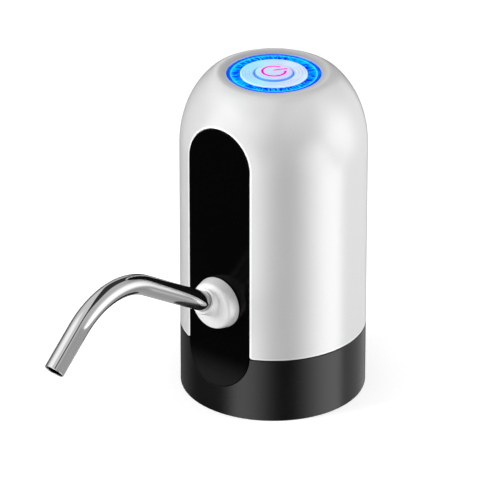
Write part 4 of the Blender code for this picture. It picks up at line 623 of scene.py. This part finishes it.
def finish_shell(material):
    """Painted shade in the dish round the light, and a painted highlight along the cut edges and the foot."""
    tree = material.node_tree
    shader = tree.nodes["Principled BSDF"]
    skin = shader.inputs["Base Color"].links[0].from_socket
    place = object_place(tree, centre=AXIS)
    polar = node(tree, "Group", node_tree=POLAR)
    feed(tree, place, polar.inputs["Vector"])
    radius = polar.outputs["Radius"]
    split = node(tree, "SeparateXYZ")
    feed(tree, place, split.inputs[0])
    x, y, z = split.outputs
    # Painted shade: the dish round the light ring is greyed towards the ring, standing in for the shade in
    # that recess.
    shade = product(
        tree,
        spread(tree, radius, 18.8, 23.0, 0.55, 0.0),
        spread(tree, z, 0.128, 0.131),
        spread(tree, radius, 18.92, 19.2),
    )
    colour = mix_colour(tree, shade, skin, (0.14, 0.14, 0.145))
    # Painted highlight: a pale line along the edges of the panel opening, standing in for light caught on the
    # cut edges.
    nearest = node(tree, "Clamp")
    feed_each(tree, (z, PANEL_LOW_CENTRE, PANEL_HIGH_CENTRE), nearest.inputs)
    drop = math_node(tree, "SUBTRACT", z, nearest.outputs[0])
    reach = math_node(tree, "SQRT", math_node(tree, "MULTIPLY_ADD", drop, drop, product(tree, x, x)))
    rim = ease(tree, reach, PANEL_HALF + 0.0009, PANEL_HALF + 0.0013, 1.0, 0.0)
    rim = product(tree, rim, math_node(tree, "LESS_THAN", y, PANEL_SIDE_LIMIT))
    # Painted highlight: a pale line along the shell's foot.
    foot = ease(tree, z, SHELL_BOTTOM + 0.0004, SHELL_BOTTOM + 0.0008, 0.5, 0.0)
    painted_edge_highlight = math_node(tree, "MAXIMUM", rim, foot)
    feed(tree, mix_colour(tree, painted_edge_highlight, colour, (0.97, 0.97, 0.97)), shader.inputs["Base Color"])


finish_shell(SHELL_WHITE)

# The finishes of the CAD nodes, by the slots in the record
KEPT_FINISHES = {
    "white_plastic": COLLAR_WHITE_GLOW,
    "rubber": RUBBER,
    "steel": SCREW_STEEL,
    "gasket": plastic("seal_rubber", (0.62, 0.64, 0.66), (0.52, 0.54, 0.57), 0.5, 0.08, 2600, 2e-5),
    "tube": plastic(
        "tube_silicone", (0.66, 0.69, 0.72), (0.58, 0.62, 0.66), 0.34, 0.06, 1900, 1e-5,
        Subsurface_Weight=0.15,
    ),
    "copper": metal("copper", (0.72, 0.34, 0.19), (0.5, 0.22, 0.13), 0.32, 0.25, (900, 900, 2600), 1e-5),
    "magnet": plastic("ferrite", (0.05, 0.05, 0.055), (0.085, 0.08, 0.08), 0.55, 0.1, 1700, 4e-5),
    "foam": plastic("foam_sleeve", (0.05, 0.05, 0.055), (0.09, 0.09, 0.095), 0.85, 0.08, 1500, 0.00012),
    "natural": plastic("natural_nylon", (0.72, 0.71, 0.66), (0.64, 0.62, 0.56), 0.4, 0.06, 2600, 1e-5),
    "dark_plastic": plastic("dark_nylon", (0.03, 0.03, 0.032), (0.05, 0.05, 0.052), 0.46, 0.07, 2600, 2e-5),
    "board": plastic("board_green", (0.012, 0.13, 0.05), (0.02, 0.19, 0.075), 0.32, 0.06, 900, 2e-5),
    "cell": plastic(
        "cell_wrap", (0.02, 0.14, 0.42), (0.03, 0.17, 0.5), 0.3, 0.05, 1300, 1e-5, Coat_Weight=0.3
    ),
    "lamp": plastic("lamp_resin", (0.8, 0.82, 0.84), (0.74, 0.77, 0.82), 0.25, 0.04, 1500, 1e-5),
    "wire_red": plastic("wire_red", (0.55, 0.02, 0.02), (0.44, 0.015, 0.015), 0.38, 0.05, 1800, 1e-5),
    "wire_black": plastic("wire_black", (0.02, 0.02, 0.021), (0.035, 0.035, 0.036), 0.4, 0.05, 1800, 1e-5),
}
MOTOR_PIECES = ("motor_can", "armature")


def dress_cad_nodes():
    """Give every carried-over CAD node the finish of its slot."""
    for entry in frame["record"]["subparts"]:
        name = entry["node"]
        finish = MOTOR_STEEL if name in MOTOR_PIECES else KEPT_FINISHES.get(entry["material_slot"])
        if finish:
            nodes[name].data.materials.clear()
            nodes[name].data.materials.append(finish)


# The pieces. A profile is a row of (radius, height) points, in metres.


def panel_pocket():
    return slot_block("pocket", POCKET_HALF, PANEL_BACK - CLEARANCE, BODY_RADIUS + 0.01)


def port_drill(name, radius, back, front, steps=64):
    return rod(name, radius, back, front, steps, PORT, FRONT, UP)


def pocket_rim(edge):
    """Edges where the pocket's walls meet the body's outer face."""
    wall_play, pocket_play, dome_from = 0.00012, 0.00003, 0.1
    deepest = PANEL_FRONT - 0.0015
    for end in (v.co - AXIS for v in edge.verts):
        on_wall = abs(math.hypot(end.x, end.y) - BODY_RADIUS) < wall_play
        if not (on_wall or end.z > dome_from) or end.y > PANEL_SIDE_LIMIT:
            return False
        low = end.z < PANEL_LOW_CENTRE
        high = end.z > PANEL_HIGH_CENTRE
        centre = PANEL_LOW_CENTRE if low else PANEL_HIGH_CENTRE
        reach = math.hypot(end.x, end.z - centre) if low or high else abs(end.x)
        if abs(reach - POCKET_HALF) > pocket_play or -end.y < deepest:
            return False
    return True


def corner_notch(side):
    """What a rounded lower corner of the shell leaves off, beside the panel."""
    reach, spare, overrun = 0.0013, 0.0001, 0.002
    inside, outside = 0.03, 0.04
    corner, inner = side * POCKET_HALF, side * (POCKET_HALF + reach)
    notch = box(
        "notch",
        (min(corner, inner) - spare, -outside, SHELL_BOTTOM - spare),
        (max(corner, inner) + spare, -inside, SHELL_BOTTOM + reach),
    )
    centre = AXIS + SIDE * inner + UP * (SHELL_BOTTOM + reach)
    combine(notch, rod("round", reach, inside - overrun, outside + overrun, 48, centre, FRONT, UP))
    return notch


def make_shell():
    """Domed white cover, with a dish round the light and openings in front and back."""
    wall, top, underside = 0.002, 0.136, 0.1339
    dome, reach, height, crease_radius = (0.0115, 0.106), 0.026, 0.0307, 0.0235
    crease = math.acos((crease_radius - dome[0]) / reach)
    rise = height / math.sin(crease)
    shoulder = crease - math.radians(7)
    joins = (dome[0] + reach * math.cos(shoulder), dome[1] + rise * math.sin(shoulder))
    outside = [(0, top), (TOP_HOLE, top), (0.0199, 0.13607), (0.0208, 0.13622)]
    bend = [(0.0214, 0.13634), (0.0236, 0.13668), joins]
    bend_steps = 12
    for k in range(1, bend_steps):
        share = k / bend_steps
        weights = ((1 - share) ** 2, 2 * share * (1 - share), share**2)
        outside.append(tuple(sum(w * e[i] for w, e in zip(weights, bend)) for i in (0, 1)))
    outside += arc(dome, reach, rise, shoulder, 0, 44)
    outside += [(BODY_RADIUS, SHELL_BOTTOM), (0, SHELL_BOTTOM)]
    shell = turned("shell_cover", outside, BODY_STEPS)
    inner_rise = rise - wall
    inner_angle = math.asin((underside - dome[1]) / inner_rise)
    above, under = 0.15, 0.02
    inside = [(0, above), (TOP_HOLE, above), (TOP_HOLE, underside)]
    inside += arc(dome, reach - wall, inner_rise, inner_angle, 0, 24)
    inside += [(BODY_RADIUS - wall, under), (0, under)]
    hollow = turned("hollow", inside, BODY_STEPS)
    slab_back = AXIS + FRONT * 0.031
    open_edit(hollow)
    pick_all()
    bpy.ops.mesh.bisect(plane_co=slab_back, plane_no=FRONT, use_fill=True, clear_outer=True)
    close_edit()
    combine(shell, hollow)
    combine(shell, panel_pocket())
    combine(shell, port_drill("port_hole", PORT_HOLE, *PORT_HOLE_REACH))
    window_height, window_corner, long_edge = 0.0440, 0.0014, 0.01
    window = box("window", (-0.0046, 0.0287, -0.0022), (0.0046, 0.05, 0.0022), AXIS + UP * window_height)
    round_edges(window, window_corner, 5, lambda e: abs(e.verts[0].co.y - e.verts[1].co.y) > long_edge)
    combine(shell, window)
    boss, boss_foot, boss_bite, boss_circle = 0.0024, 0.1290, 0.0005, 0.0232
    for centre in places_round(3, boss_circle, math.pi / 2):
        combine(shell, rod("boss", boss, boss_foot, underside + boss_bite, 24, centre), "UNION")
    for side in (1, -1):
        combine(shell, corner_notch(side))
    round_edges(shell, POCKET_EDGE * 1.1, 2, pocket_rim, clamp=False)
    finished(shell, "root", SHELL_WHITE, "shell", "outer_shell")


def make_base():
    """Black skirt: neck socket, ribbed hollow wall, lip for the shell and holes for screws."""
    rim, depth, floor_top = 0.0334, 0.0235, 0.0261
    lip_bore, lip_height, bore, nipple_hole = 0.0296, 0.0025, 0.0309, 0.0053
    profile = [(rim, 0.0271), (0.03697, 0.0271), (0.03735, 0.0269), (BODY_RADIUS, 0.0265)]
    profile += [(BODY_RADIUS, 0.0005), (0.03735, 0.00015), (0.037, 0)]
    profile += [(lip_bore, 0), (lip_bore, lip_height), (bore, lip_height), (bore, depth)]
    profile += [(nipple_hole, depth), (nipple_hole, floor_top), (rim, floor_top), profile[0]]
    skirt = turned("base_cover", profile, BODY_STEPS)
    wall_inside = 0.0352
    groove = band("groove", 0.0324, wall_inside, -0.005, 0.0215)
    combine(groove, box("front_mass", (-0.0173, -0.05, -0.01), (0.0173, -0.0154, 0.03)))
    ribs, rib_half = 8, 0.0007
    for k in range(ribs):
        rib = box("rib", (0.015, -rib_half, -0.01), (0.045, rib_half, 0.03))
        turn(rib, math.pi / ribs + math.tau * k / ribs, AXIS)
        combine(groove, rib)
    lip = band("lip", 0.0336, wall_inside, 0.0264, 0.0299)
    combine(lip, box("relief", (-0.04, -0.05, floor_top), (0.04, -0.0307, 0.04)))
    combine(skirt, lip, "UNION")
    combine(skirt, groove)
    combine(skirt, panel_pocket())
    screw_hole, screw_circle = 0.0016, 0.017
    for centre in places_round(3, screw_circle, math.pi / 4):
        combine(skirt, rod("hole", screw_hole, 0.02, 0.03, 24, centre))
    round_edges(skirt, POCKET_EDGE, 2, pocket_rim, clamp=False)
    finished(skirt, "root", BASE_BLACK, "base", "base_skirt")


def make_panel():
    """Glossy strip with a flat front that curves out to the skirt at its foot."""
    panel = slot_block("panel_face", PANEL_HALF, PANEL_BACK, BODY_RADIUS)
    far, top, half = 0.06, 0.14, 0.03
    outline = [(far, top), (PANEL_FRONT, top)]
    centre = (PANEL_FRONT + SCOOP_RADIUS, SCOOP_START)
    outline += arc(centre, -SCOOP_RADIUS, -SCOOP_RADIUS, 0, math.radians(30), 48)
    outline.append((far, outline[-1][1]))
    points = [AXIS + FRONT * forward + UP * z - SIDE * half for forward, z in outline]
    combine(panel, drawn_out("scoop", points, SIDE * half * 2))
    combine(panel, port_drill("port_hole", PORT_HOLE, *PORT_HOLE_REACH))

    def front_rim(edge):
        forward = AXIS.y - (edge.verts[0].co.y + edge.verts[1].co.y) / 2
        sharp = len(edge.link_faces) == 2 and edge.calc_face_angle(0) > 1.0
        return sharp and forward > PANEL_FRONT - POCKET_EDGE

    round_edges(panel, POCKET_EDGE * 1.1, 2, front_rim)
    finished(panel, "root", PANEL_BLACK, "panel", "front_panel", degrees=30)


def make_collar():
    """Domed disc with its grooved spigot behind and the slanting nose for the pipe."""
    back, spigot, groove = 0.0347, 0.005, 0.004
    spigot_end = back - 0.012
    profile = [(0, 0.0410), (0.0050, 0.04075), (0.0058, 0.04068), (0.0072, 0.0404), (0.0086, 0.0400)]
    profile += [(0.00905, 0.03985), (0.0094, 0.03955), (0.00965, 0.0391), (0.00985, 0.0385)]
    profile += [(0.01015, 0.0372), (0.0104, 0.0360), (0.0106, 0.0351), (0.01058, 0.03485), (0.0104, back)]
    profile += [(spigot, back), (spigot, 0.028), (groove, 0.028), (groove, 0.0262), (spigot, 0.0262)]
    profile += [(spigot, spigot_end), (0, spigot_end)]
    collar = turned("spout_root", profile, 128, PORT, FRONT, UP)
    along = (PIPE_ROOT, ALONG_PIPE, ACROSS_PIPE)
    nose = [(0, 0.0082), (0.0047, 0.0082), (0.00505, 0.00805), (0.0052, 0.0077), (0.0052, 0), (0, 0)]
    combine(collar, turned("nose", nose, 96, *along), "UNION")
    pipe_seat, water_way = 0.00415, 0.0026
    combine(collar, rod("seat", pipe_seat, 0.0132, 0.0001, 96, *along))
    combine(collar, port_drill("water_way", water_way, 0.017, 0.0396, 48))
    finished(collar, "spout", COLLAR_WHITE_GLOW, "white_plastic", "spout_collar", degrees=32)


def make_pipe():
    """A drawn pipe: a run out of the nose, one bend and a short drop."""
    radius, wall, lip = 0.00405, 0.0006, 0.00025
    rise_length, bend_radius, drop_length = 0.0489, 0.035, 0.0186
    start = PIPE_ROOT + ALONG_PIPE * CLEARANCE
    run = ALONG_PIPE * (rise_length - CLEARANCE)
    tilt = ALONG_PIPE.to_track_quat("Z", "Y").to_euler()
    bpy.ops.mesh.primitive_circle_add(vertices=64, radius=radius, location=start, rotation=tilt)
    pipe = settle(bpy.context.object, "spout_tube")
    open_edit(pipe)
    pick_all()
    extrude(run)
    centre = start + run - ACROSS_PIPE * bend_radius
    bpy.ops.mesh.spin(steps=60, angle=PIPE_TURN, center=centre, axis=-SIDE)
    extrude(DOWN_PIPE * drop_length)
    close_welded()
    thick = pipe.modifiers.new("wall", "SOLIDIFY")
    thick.thickness = wall
    thick.offset = -1
    apply(pipe, thick)
    edge = pipe.modifiers.new("lip", "BEVEL")
    edge.width = lip
    edge.segments = 3
    edge.limit_method = "ANGLE"
    edge.angle_limit = math.radians(60)
    apply(pipe, edge)
    finished(pipe, "spout", PIPE_STEEL, "spout_steel", "spout_pipe", degrees=40)


def make_light_ring():
    """Clear band with a stepped top and a flange below the shell."""
    flange, bottom = 0.1336, 0.1323
    profile = [(0.0137, 0.0002), (0.01385, 0.00005), (0.0141, 0.00012), (0.0168, 0.00012)]
    profile += [(0.0170, 0.0003), (0.0172, 0.0003), (0.0173, 0.00008), (0.0175, 0)]
    profile += [(0.0183, 0), (0.0185, 0.00008), (0.0186, 0.0003)]
    profile = below(RING_TOP, profile)
    profile += [(0.0186, flange), (0.0204, flange), (0.0204, bottom), (0.0137, bottom), profile[0]]
    ring = turned("light_band", profile, 160)
    finished(ring, "root", LIT_RING, "light_ring", "light_ring")


def make_lens():
    """Flat disc with five fine grooves round the button."""
    bore, rim, bottom = 0.0079, 0.0134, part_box("top_lens")[0].z
    first_crest, crest_pitch, crest_width = 0.0086, 0.00095, 0.0006
    groove_reach, groove_depth = 0.00078, 0.00007
    profile = [(bore, 0.0003), (0.0081, 0.00012)]
    for k in range(5):
        crest = first_crest + crest_pitch * k
        profile += [(crest, 0), (crest + crest_width, 0), (crest + groove_reach, groove_depth)]
    profile += [(0.0130, 0), (0.0133, 0.0001), (rim, 0.0003)]
    profile = [(bore, bottom)] + below(LENS_TOP, profile) + [(rim, bottom), (bore, bottom)]
    lens = turned("lens_disc", profile, 128)
    finished(lens, "root", PALE_LENS, "lens", "top_lens", degrees=30)


CROWN_EDGE = 0.0072


def crown(radius):
    """Height of the button's domed top at a radius."""
    return BUTTON_TOP - ICON_RELIEF - 0.0004 * (radius / CROWN_EDGE) ** 2


def make_button():
    """Domed cap with a flange that holds it down and a stem to the switch."""
    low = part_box("power_button")[0].z
    edge = crown(CROWN_EDGE)
    side, flange, skirt_inside, stem = 0.0076, 0.0086, 0.0066, 0.0016
    flange_low, flange_top, ceiling = BUTTON_TOP - 0.004, BUTTON_TOP - 0.0032, BUTTON_TOP - 0.0014
    steps = 9
    profile = [(CROWN_EDGE * k / steps, crown(CROWN_EDGE * k / steps)) for k in range(steps)]
    profile += [(0.0069, crown(0.0069) - 0.00002), (CROWN_EDGE, edge - 0.00006)]
    profile += [(0.00745, edge - 0.0002), (side, edge - 0.00045)]
    profile += [(side, flange_top), (flange, flange_top), (flange, flange_low), (skirt_inside, flange_low)]
    profile += [(skirt_inside, ceiling), (stem, ceiling), (stem, low), (0, low)]
    button = turned("button_top", profile, 96)
    finished(button, "button", BUTTON_CAP, "lens", "power_button", degrees=40)


def make_icon():
    """The plain on and off sign: a ring open on one side and a bar from its middle."""
    open_from, open_to = VIEW_AZIMUTH + math.radians(5), VIEW_AZIMUTH + math.radians(56)
    inner, outer, chamfer, sunk = 0.00405, 0.00507, 0.0001, 0.0001
    shoulder = 0.00002
    height = crown(0.0046)
    section = [(inner, -sunk), (inner, shoulder), (inner + chamfer, ICON_RELIEF)]
    section += [(outer - chamfer, ICON_RELIEF), (outer, shoulder), (outer, -sunk), (inner, -sunk)]
    out = right_of(open_from)
    icon = drawn("power_sign", [AXIS + out * r + UP * (height + z) for r, z in section])
    pick_all()
    bpy.ops.mesh.remove_doubles(threshold=WELD)
    pick_all()
    bpy.ops.mesh.edge_face_add()
    bpy.ops.mesh.spin(steps=72, angle=math.tau - (open_to - open_from), center=AXIS, axis=UP)
    close_welded()
    right = right_of(VIEW_AZIMUTH)
    back = UP.cross(right)
    bar_start = right * -0.0002 + back * 0.0004
    bar_end = right * 0.0054 + back * 0.00262
    across = UP.cross((bar_end - bar_start).normalized())
    bar_half, bar_steps = 0.00044, 12
    points = []
    for k in range(bar_steps + 1):
        spot = bar_start + (bar_end - bar_start) * k / bar_steps
        points.append(AXIS + spot - across * bar_half + UP * (crown(spot.length) + ICON_RELIEF))
    bar = drawn("power_bar", points)
    pick_all()
    extrude(across * bar_half * 2)
    pick_all()
    extrude(-UP * (ICON_RELIEF + sunk))
    close_welded()
    only(icon)
    bar.select_set(True)
    bpy.ops.object.join()
    finished(icon, "button", ICON_MAGENTA, "lens", degrees=40)


def make_grip_ring():
    """Rubber ring with three soft lips inside."""
    bottom, top, inner, outer, chamfer = 0.0028, 0.0193, 0.0277, 0.0306, 0.0003
    lips, lip_steps, lip_height = 3, 8, 0.0005
    profile = [(inner, top - chamfer), (inner + chamfer, top), (outer - chamfer, top), (outer, top - chamfer)]
    profile += [(outer, bottom + chamfer), (outer - chamfer, bottom), (inner + chamfer, bottom)]
    pitch = (top - bottom) / lips
    for k in range(lips):
        middle = bottom + pitch * (k + 0.5)
        for j in range(lip_steps + 1):
            rise = lip_height * math.sin(math.pi * j / lip_steps) ** 2
            profile.append((inner - rise, middle + pitch * (j / lip_steps - 0.5) / 2))
    profile.append(profile[0])
    ring = turned("grip_ring", profile, 128)
    finished(ring, "root", RUBBER, "rubber", "neck_grip_ring")


def make_nipple():
    """Flanged nipple with four barbs for the hose and a stub for the inner tube."""
    foot, tip = (corner.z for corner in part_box("inlet_nipple"))
    stub, stub_bore, neck, bore = 0.003, 0.0016, 0.004, 0.0026
    flange, flange_low, flange_top, barbs_top, barbs = 0.008, 0.0279, 0.0299, 0.0215, 4
    edge = 0.0001
    profile = [(stub_bore, tip), (stub - edge, tip), (stub, tip - edge), (stub, flange_top)]
    profile += [(flange, flange_top), (flange, flange_low), (0.005, flange_low), (0.005, barbs_top)]
    step = (barbs_top - foot) / barbs
    for k in range(barbs):
        crest = barbs_top - step * (k + 0.25)
        profile += [(neck, barbs_top - step * k), (0.0044, crest + 0.00012), (0.0045, crest - edge)]
    profile += [(neck, foot + 0.0002), (0.0038, foot), (0.0027, foot), (bore, foot + 0.0002)]
    profile += [(bore, flange_low), (stub_bore, flange_top), (stub_bore, tip)]
    nipple = turned("hose_nipple", profile, 64)
    finished(nipple, "root", COLLAR_WHITE_GLOW, "white_plastic", "inlet_nipple", degrees=32)


def make_frame_screws():
    """Pan-headed screws with crossed slots, seen from below."""
    head, shank, tip, head_height = 0.0026, 0.0013, 0.0010, 0.0018
    slot_reach, slot_half, slot_depth = 0.0016, 0.00035, 0.0007
    for k in range(3):
        low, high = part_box(f"frame_screw_{k + 1}")
        centre = Vector(((low.x + high.x) / 2, (low.y + high.y) / 2, 0))
        profile = [(0, low.z), (0.0021, low.z + 0.00008), (0.0024, low.z + 0.0003), (head, low.z + 0.0008)]
        profile += [(head, low.z + head_height), (shank, low.z + head_height)]
        profile += [(shank, high.z - 0.0004), (tip, high.z), (0, high.z)]
        screw = turned(f"frame_screw_head_{k + 1}", profile, 40, centre)
        for angle in (math.pi / 4, -math.pi / 4):
            slot_low = (-slot_reach, -slot_half, low.z - 0.001)
            slot = box("slot", slot_low, (slot_reach, slot_half, low.z + slot_depth), centre)
            turn(slot, angle, centre)
            combine(screw, slot)
        finished(screw, "root", SCREW_STEEL, "steel", f"frame_screw_{k + 1}", degrees=32)


def make_charging_socket():
    """Sheet-metal mouth with round ends, and the tongue inside it."""
    low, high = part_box("charging_socket")
    centre = (low + high) / 2
    depth = high.y - low.y
    corner, wall, mouth_depth, corner_steps = 0.0015, 0.0004, 0.0055, 12
    reach = (high.x - low.x) / 2 - corner
    points = []
    for side in (1, -1):
        for k in range(corner_steps + 1):
            angle = math.pi / 2 - math.pi * k / corner_steps
            x = side * (reach + corner * math.cos(angle))
            points.append(Vector((centre.x + x, low.y, centre.z + side * corner * math.sin(angle))))
    shell = drawn_out("charge_socket", points, -FRONT * depth)
    open_edit(shell)
    pick(shell, "FACE", lambda f: f.normal.y > 0.9)
    bpy.ops.mesh.inset(thickness=wall, depth=0)
    extrude(FRONT * mouth_depth)
    close_edit()
    tongue_half, tongue_thick = 0.0027, 0.0003
    tongue = box(
        "tongue",
        (-tongue_half, 0.001 - depth / 2, -tongue_thick),
        (tongue_half, depth / 2 - 0.0009, tongue_thick),
        centre,
    )
    combine(shell, tongue, "UNION")
    finished(shell, "root", SCREW_STEEL, "steel", "charging_socket")


dress_cad_nodes()
make_shell()
make_base()
make_panel()
make_collar()
make_pipe()
make_light_ring()
make_lens()
make_button()
make_icon()
make_grip_ring()
make_nipple()
make_frame_screws()
make_charging_socket()


# Camera at the photograph's place
CAMERA_DISTANCE = 2.0044
CAMERA_AIM = AXIS + UP * 0.062312
CAMERA_PAN = -0.0066683
CAMERA_ROLL = math.radians(0.190346)
CAMERA_LENS_MM = 374.84


def make_camera():
    back = towards(VIEW_AZIMUTH, VIEW_ELEVATION)
    right = right_of(VIEW_AZIMUTH)
    up = back.cross(right)
    ahead = right * math.sin(CAMERA_PAN) - back * math.cos(CAMERA_PAN)
    right = right * math.cos(CAMERA_PAN) + back * math.sin(CAMERA_PAN)
    level = right * math.cos(CAMERA_ROLL) + up * math.sin(CAMERA_ROLL)
    upright = up * math.cos(CAMERA_ROLL) - right * math.sin(CAMERA_ROLL)
    data = bpy.data.cameras.new("studio_camera")
    data.sensor_width = 36.0
    data.lens = CAMERA_LENS_MM
    data.clip_start, data.clip_end = 0.1, 30.0
    camera = bpy.data.objects.new("studio_camera", data)
    bpy.context.scene.collection.objects.link(camera)
    matrix = Matrix((level, upright, -ahead)).transposed().to_4x4()
    matrix.translation = CAMERA_AIM + back * CAMERA_DISTANCE
    camera.matrix_world = matrix
    bpy.context.scene.camera = camera


# Floor, lamps and surroundings
FLOOR_RADIUS = 6.0
FLOOR_GREY = 0.78
FLOOR_GLOW = 0.5
AMBIENT = 0.365

# What gloss mirrors. Angles are in radians from the studio's middle, heights are those of a
# direction of length 1.
STUDIO_MIDDLE = math.radians(53.6)
PANELS = (
    # side, angles where it opens and is full, where it closes and is gone, foot, head, strength
    (-1, (0.05, 0.95), (1.0, 1.4), (-0.75, -0.55), (-0.2, 0.3), 3.9),
    (1, (0.1, 1.05), (1.26, 1.55), (-0.8, -0.55), (-0.42, -0.26), 3.8),
    (1, (0.45, 1.1), (1.45, 1.95), (-0.46, -0.16), (0.1, 0.7), 1.8),
    (1, (0.1, 0.55), (0.75, 1.15), (-0.5, -0.3), (0.0, 0.22), 2.0),
    (-1, (0.4, 0.9), (1.25, 1.5), (-0.15, 0.15), (0.5, 0.8), 1.5),
    (-1, (1.25, 1.6), (1.7, 2.1), (-0.42, 0.12), (0.1, 0.36), 2.9),
    (1, (0.1, 0.8), (1.2, 1.6), (-0.4, -0.1), (0.1, 0.6), 0.95),
    (-1, (2.2, 2.6), (4.0, 5.0), (-0.7, -0.6), (0.1, 0.5), 0.14),
    (-1, (0.9, 1.4), (1.9, 2.5), (0.3, 0.6), (0.85, 0.97), 0.8),
)
WALL_PANEL = (1, (1.2, 1.7), (4.0, 5.0), (-0.7, -0.6), (0.1, 0.5), 0.65)
# Each half of the ceiling: side of the dark seam, heights where it starts, strength
CEILING = ((-1, (0.05, 0.6), 1.2), (1, (0.15, 0.7), 0.9))
SEAM_ACROSS = (0.757, 0.599, -0.26)
SEAM_OFFSET = 0.1
SEAM_HALF = 0.065
# A narrow grey flag for the falling run of the pipe, which mirrors one circle round itself
FLAG_OFFSET = 0.203
FLAG_TONE = 0.7


def make_floor():
    """Pale paper that keeps the shadow and is clear to gloss."""
    bpy.ops.mesh.primitive_circle_add(vertices=96, radius=FLOOR_RADIUS, fill_type="NGON", location=AXIS)
    floor = settle(bpy.context.object, "studio_floor")
    material = bpy.data.materials.new("floor_paper")
    material.use_nodes = True
    tree = material.node_tree
    tree.nodes.clear()
    end = node(tree, "OutputMaterial")
    paper = node(tree, "BsdfDiffuse")
    feed(tree, (FLOOR_GREY, FLOOR_GREY, FLOOR_GREY), paper.inputs["Color"])
    glow = node(tree, "Emission")
    path = node(tree, "LightPath")
    feed(tree, product(tree, path.outputs["Is Camera Ray"], FLOOR_GLOW), glow.inputs["Strength"])
    lit_paper = node(tree, "AddShader")
    feed(tree, paper.outputs[0], lit_paper.inputs[0])
    feed(tree, glow.outputs[0], lit_paper.inputs[1])
    clear = node(tree, "BsdfTransparent")
    swap = node(tree, "MixShader")
    feed_each(tree, (path.outputs["Is Glossy Ray"], lit_paper.outputs[0], clear.outputs[0]), swap.inputs)
    feed(tree, swap.outputs[0], end.inputs["Surface"])
    floor.data.materials.append(material)


def studio_reflections(tree):
    """A dark front, tall soft panels to each side, a ceiling with a dark seam, a pale back."""
    direction = node(tree, "TexCoord").outputs["Generated"]
    split = node(tree, "SeparateXYZ")
    feed(tree, direction, split.inputs[0])
    back, height = split.outputs["Y"], split.outputs["Z"]

    def along(facing):
        return vector_node(tree, "DOT_PRODUCT", direction, facing, "Value")

    angle = math_node(tree, "ARCTAN2", along(right_of(STUDIO_MIDDLE)), along(towards(STUDIO_MIDDLE)))

    def panel(side, opening, closing, foot, head, strength):
        """One soft panel, between angles to one side and between two heights."""
        away = product(tree, angle, side)
        return product(
            tree,
            ease(tree, away, *opening),
            ease(tree, away, *closing, 1.0, 0.0),
            ease(tree, height, *foot),
            ease(tree, height, *head, 1.0, 0.0),
            strength,
        )

    near = ease(tree, back, -0.2, 0.3)
    far = ease(tree, back, 0.45, 1.0)
    bow = math_node(tree, "ADD", along(SEAM_ACROSS), SEAM_OFFSET)
    side_of_seam = math_node(tree, "MULTIPLY_ADD", far, -0.4, bow)
    half_seam = math_node(tree, "MULTIPLY_ADD", near, 0.16, SEAM_HALF)
    half_seam = math_node(tree, "MULTIPLY_ADD", far, -0.12, half_seam)

    def overhead(side, foot, strength):
        """The soft ceiling on one side of its seam, from a height up."""
        clear = math_node(tree, "SUBTRACT", product(tree, side_of_seam, side), half_seam)
        return product(tree, ease(tree, clear, 0.0, 0.04), ease(tree, height, *foot), strength)

    off_seam = math_node(tree, "SUBTRACT", math_node(tree, "ABSOLUTE", side_of_seam), half_seam)
    total = ease(tree, height, -0.72, -0.6, 0.65, 0.07)
    parts = [panel(*row) for row in PANELS]
    parts.append(product(tree, panel(*WALL_PANEL), ease(tree, off_seam, 0.0, 0.06)))
    parts += [overhead(*row) for row in CEILING]
    for part in parts:
        total = math_node(tree, "ADD", total, part)
    off_flag = math_node(tree, "ABSOLUTE", math_node(tree, "ADD", along(DOWN_PIPE), FLAG_OFFSET))
    flag = product(
        tree,
        ease(tree, off_flag, 0.022, 0.045, 1.0, 0.0),
        ease(tree, angle, 0.25, 0.45),
        ease(tree, angle, 1.8, 2.0, 1.0, 0.0),
    )
    return math_node(tree, "MULTIPLY_ADD", flag, math_node(tree, "SUBTRACT", FLAG_TONE, total), total)


def make_world():
    """White to the camera, even to matt surfaces, and the studio's panels to gloss."""
    world = bpy.data.worlds.new("studio")
    bpy.context.scene.world = world
    world.use_nodes = True
    tree = world.node_tree
    rays = node(tree, "LightPath").outputs

    def choose(factor, first, second):
        made = node(tree, "Mix", data_type="FLOAT")
        feed_each(tree, (factor, first, second), (made.inputs[0], made.inputs[2], made.inputs[3]))
        return made.outputs[0]

    strength = choose(rays["Is Glossy Ray"], AMBIENT, studio_reflections(tree))
    clear = math_node(tree, "MAXIMUM", rays["Is Camera Ray"], rays["Is Transmission Ray"])
    ground = tree.nodes["Background"]
    feed(tree, (1, 1, 1), ground.inputs["Color"])
    feed(tree, choose(clear, strength, 1.0), ground.inputs["Strength"])


def make_lamp(name, azimuth, elevation, distance, width, height, power):
    """A soft box that looks at the middle of the pump from round it."""
    away = towards(math.radians(azimuth), math.radians(elevation))
    data = bpy.data.lights.new(name, "AREA")
    data.shape = "RECTANGLE"
    data.size, data.size_y = width, height
    data.energy = power
    lamp = bpy.data.objects.new(name, data)
    bpy.context.scene.collection.objects.link(lamp)
    lamp.location = AXIS + UP * 0.07 + away * distance
    lamp.rotation_euler = away.to_track_quat("Z", "Y").to_euler()
    lamp.visible_glossy = False


make_camera()
make_floor()
make_world()
make_lamp("left_softbox", -39, 24, 1.6, 0.7, 1.2, 21.5)
make_lamp("right_softbox", 126, 24, 1.6, 0.7, 1.2, 17.5)
make_lamp("front_softbox", 44, 52, 1.7, 0.8, 0.8, 1.0)

scene = bpy.context.scene
scene.view_settings.view_transform = "Standard"
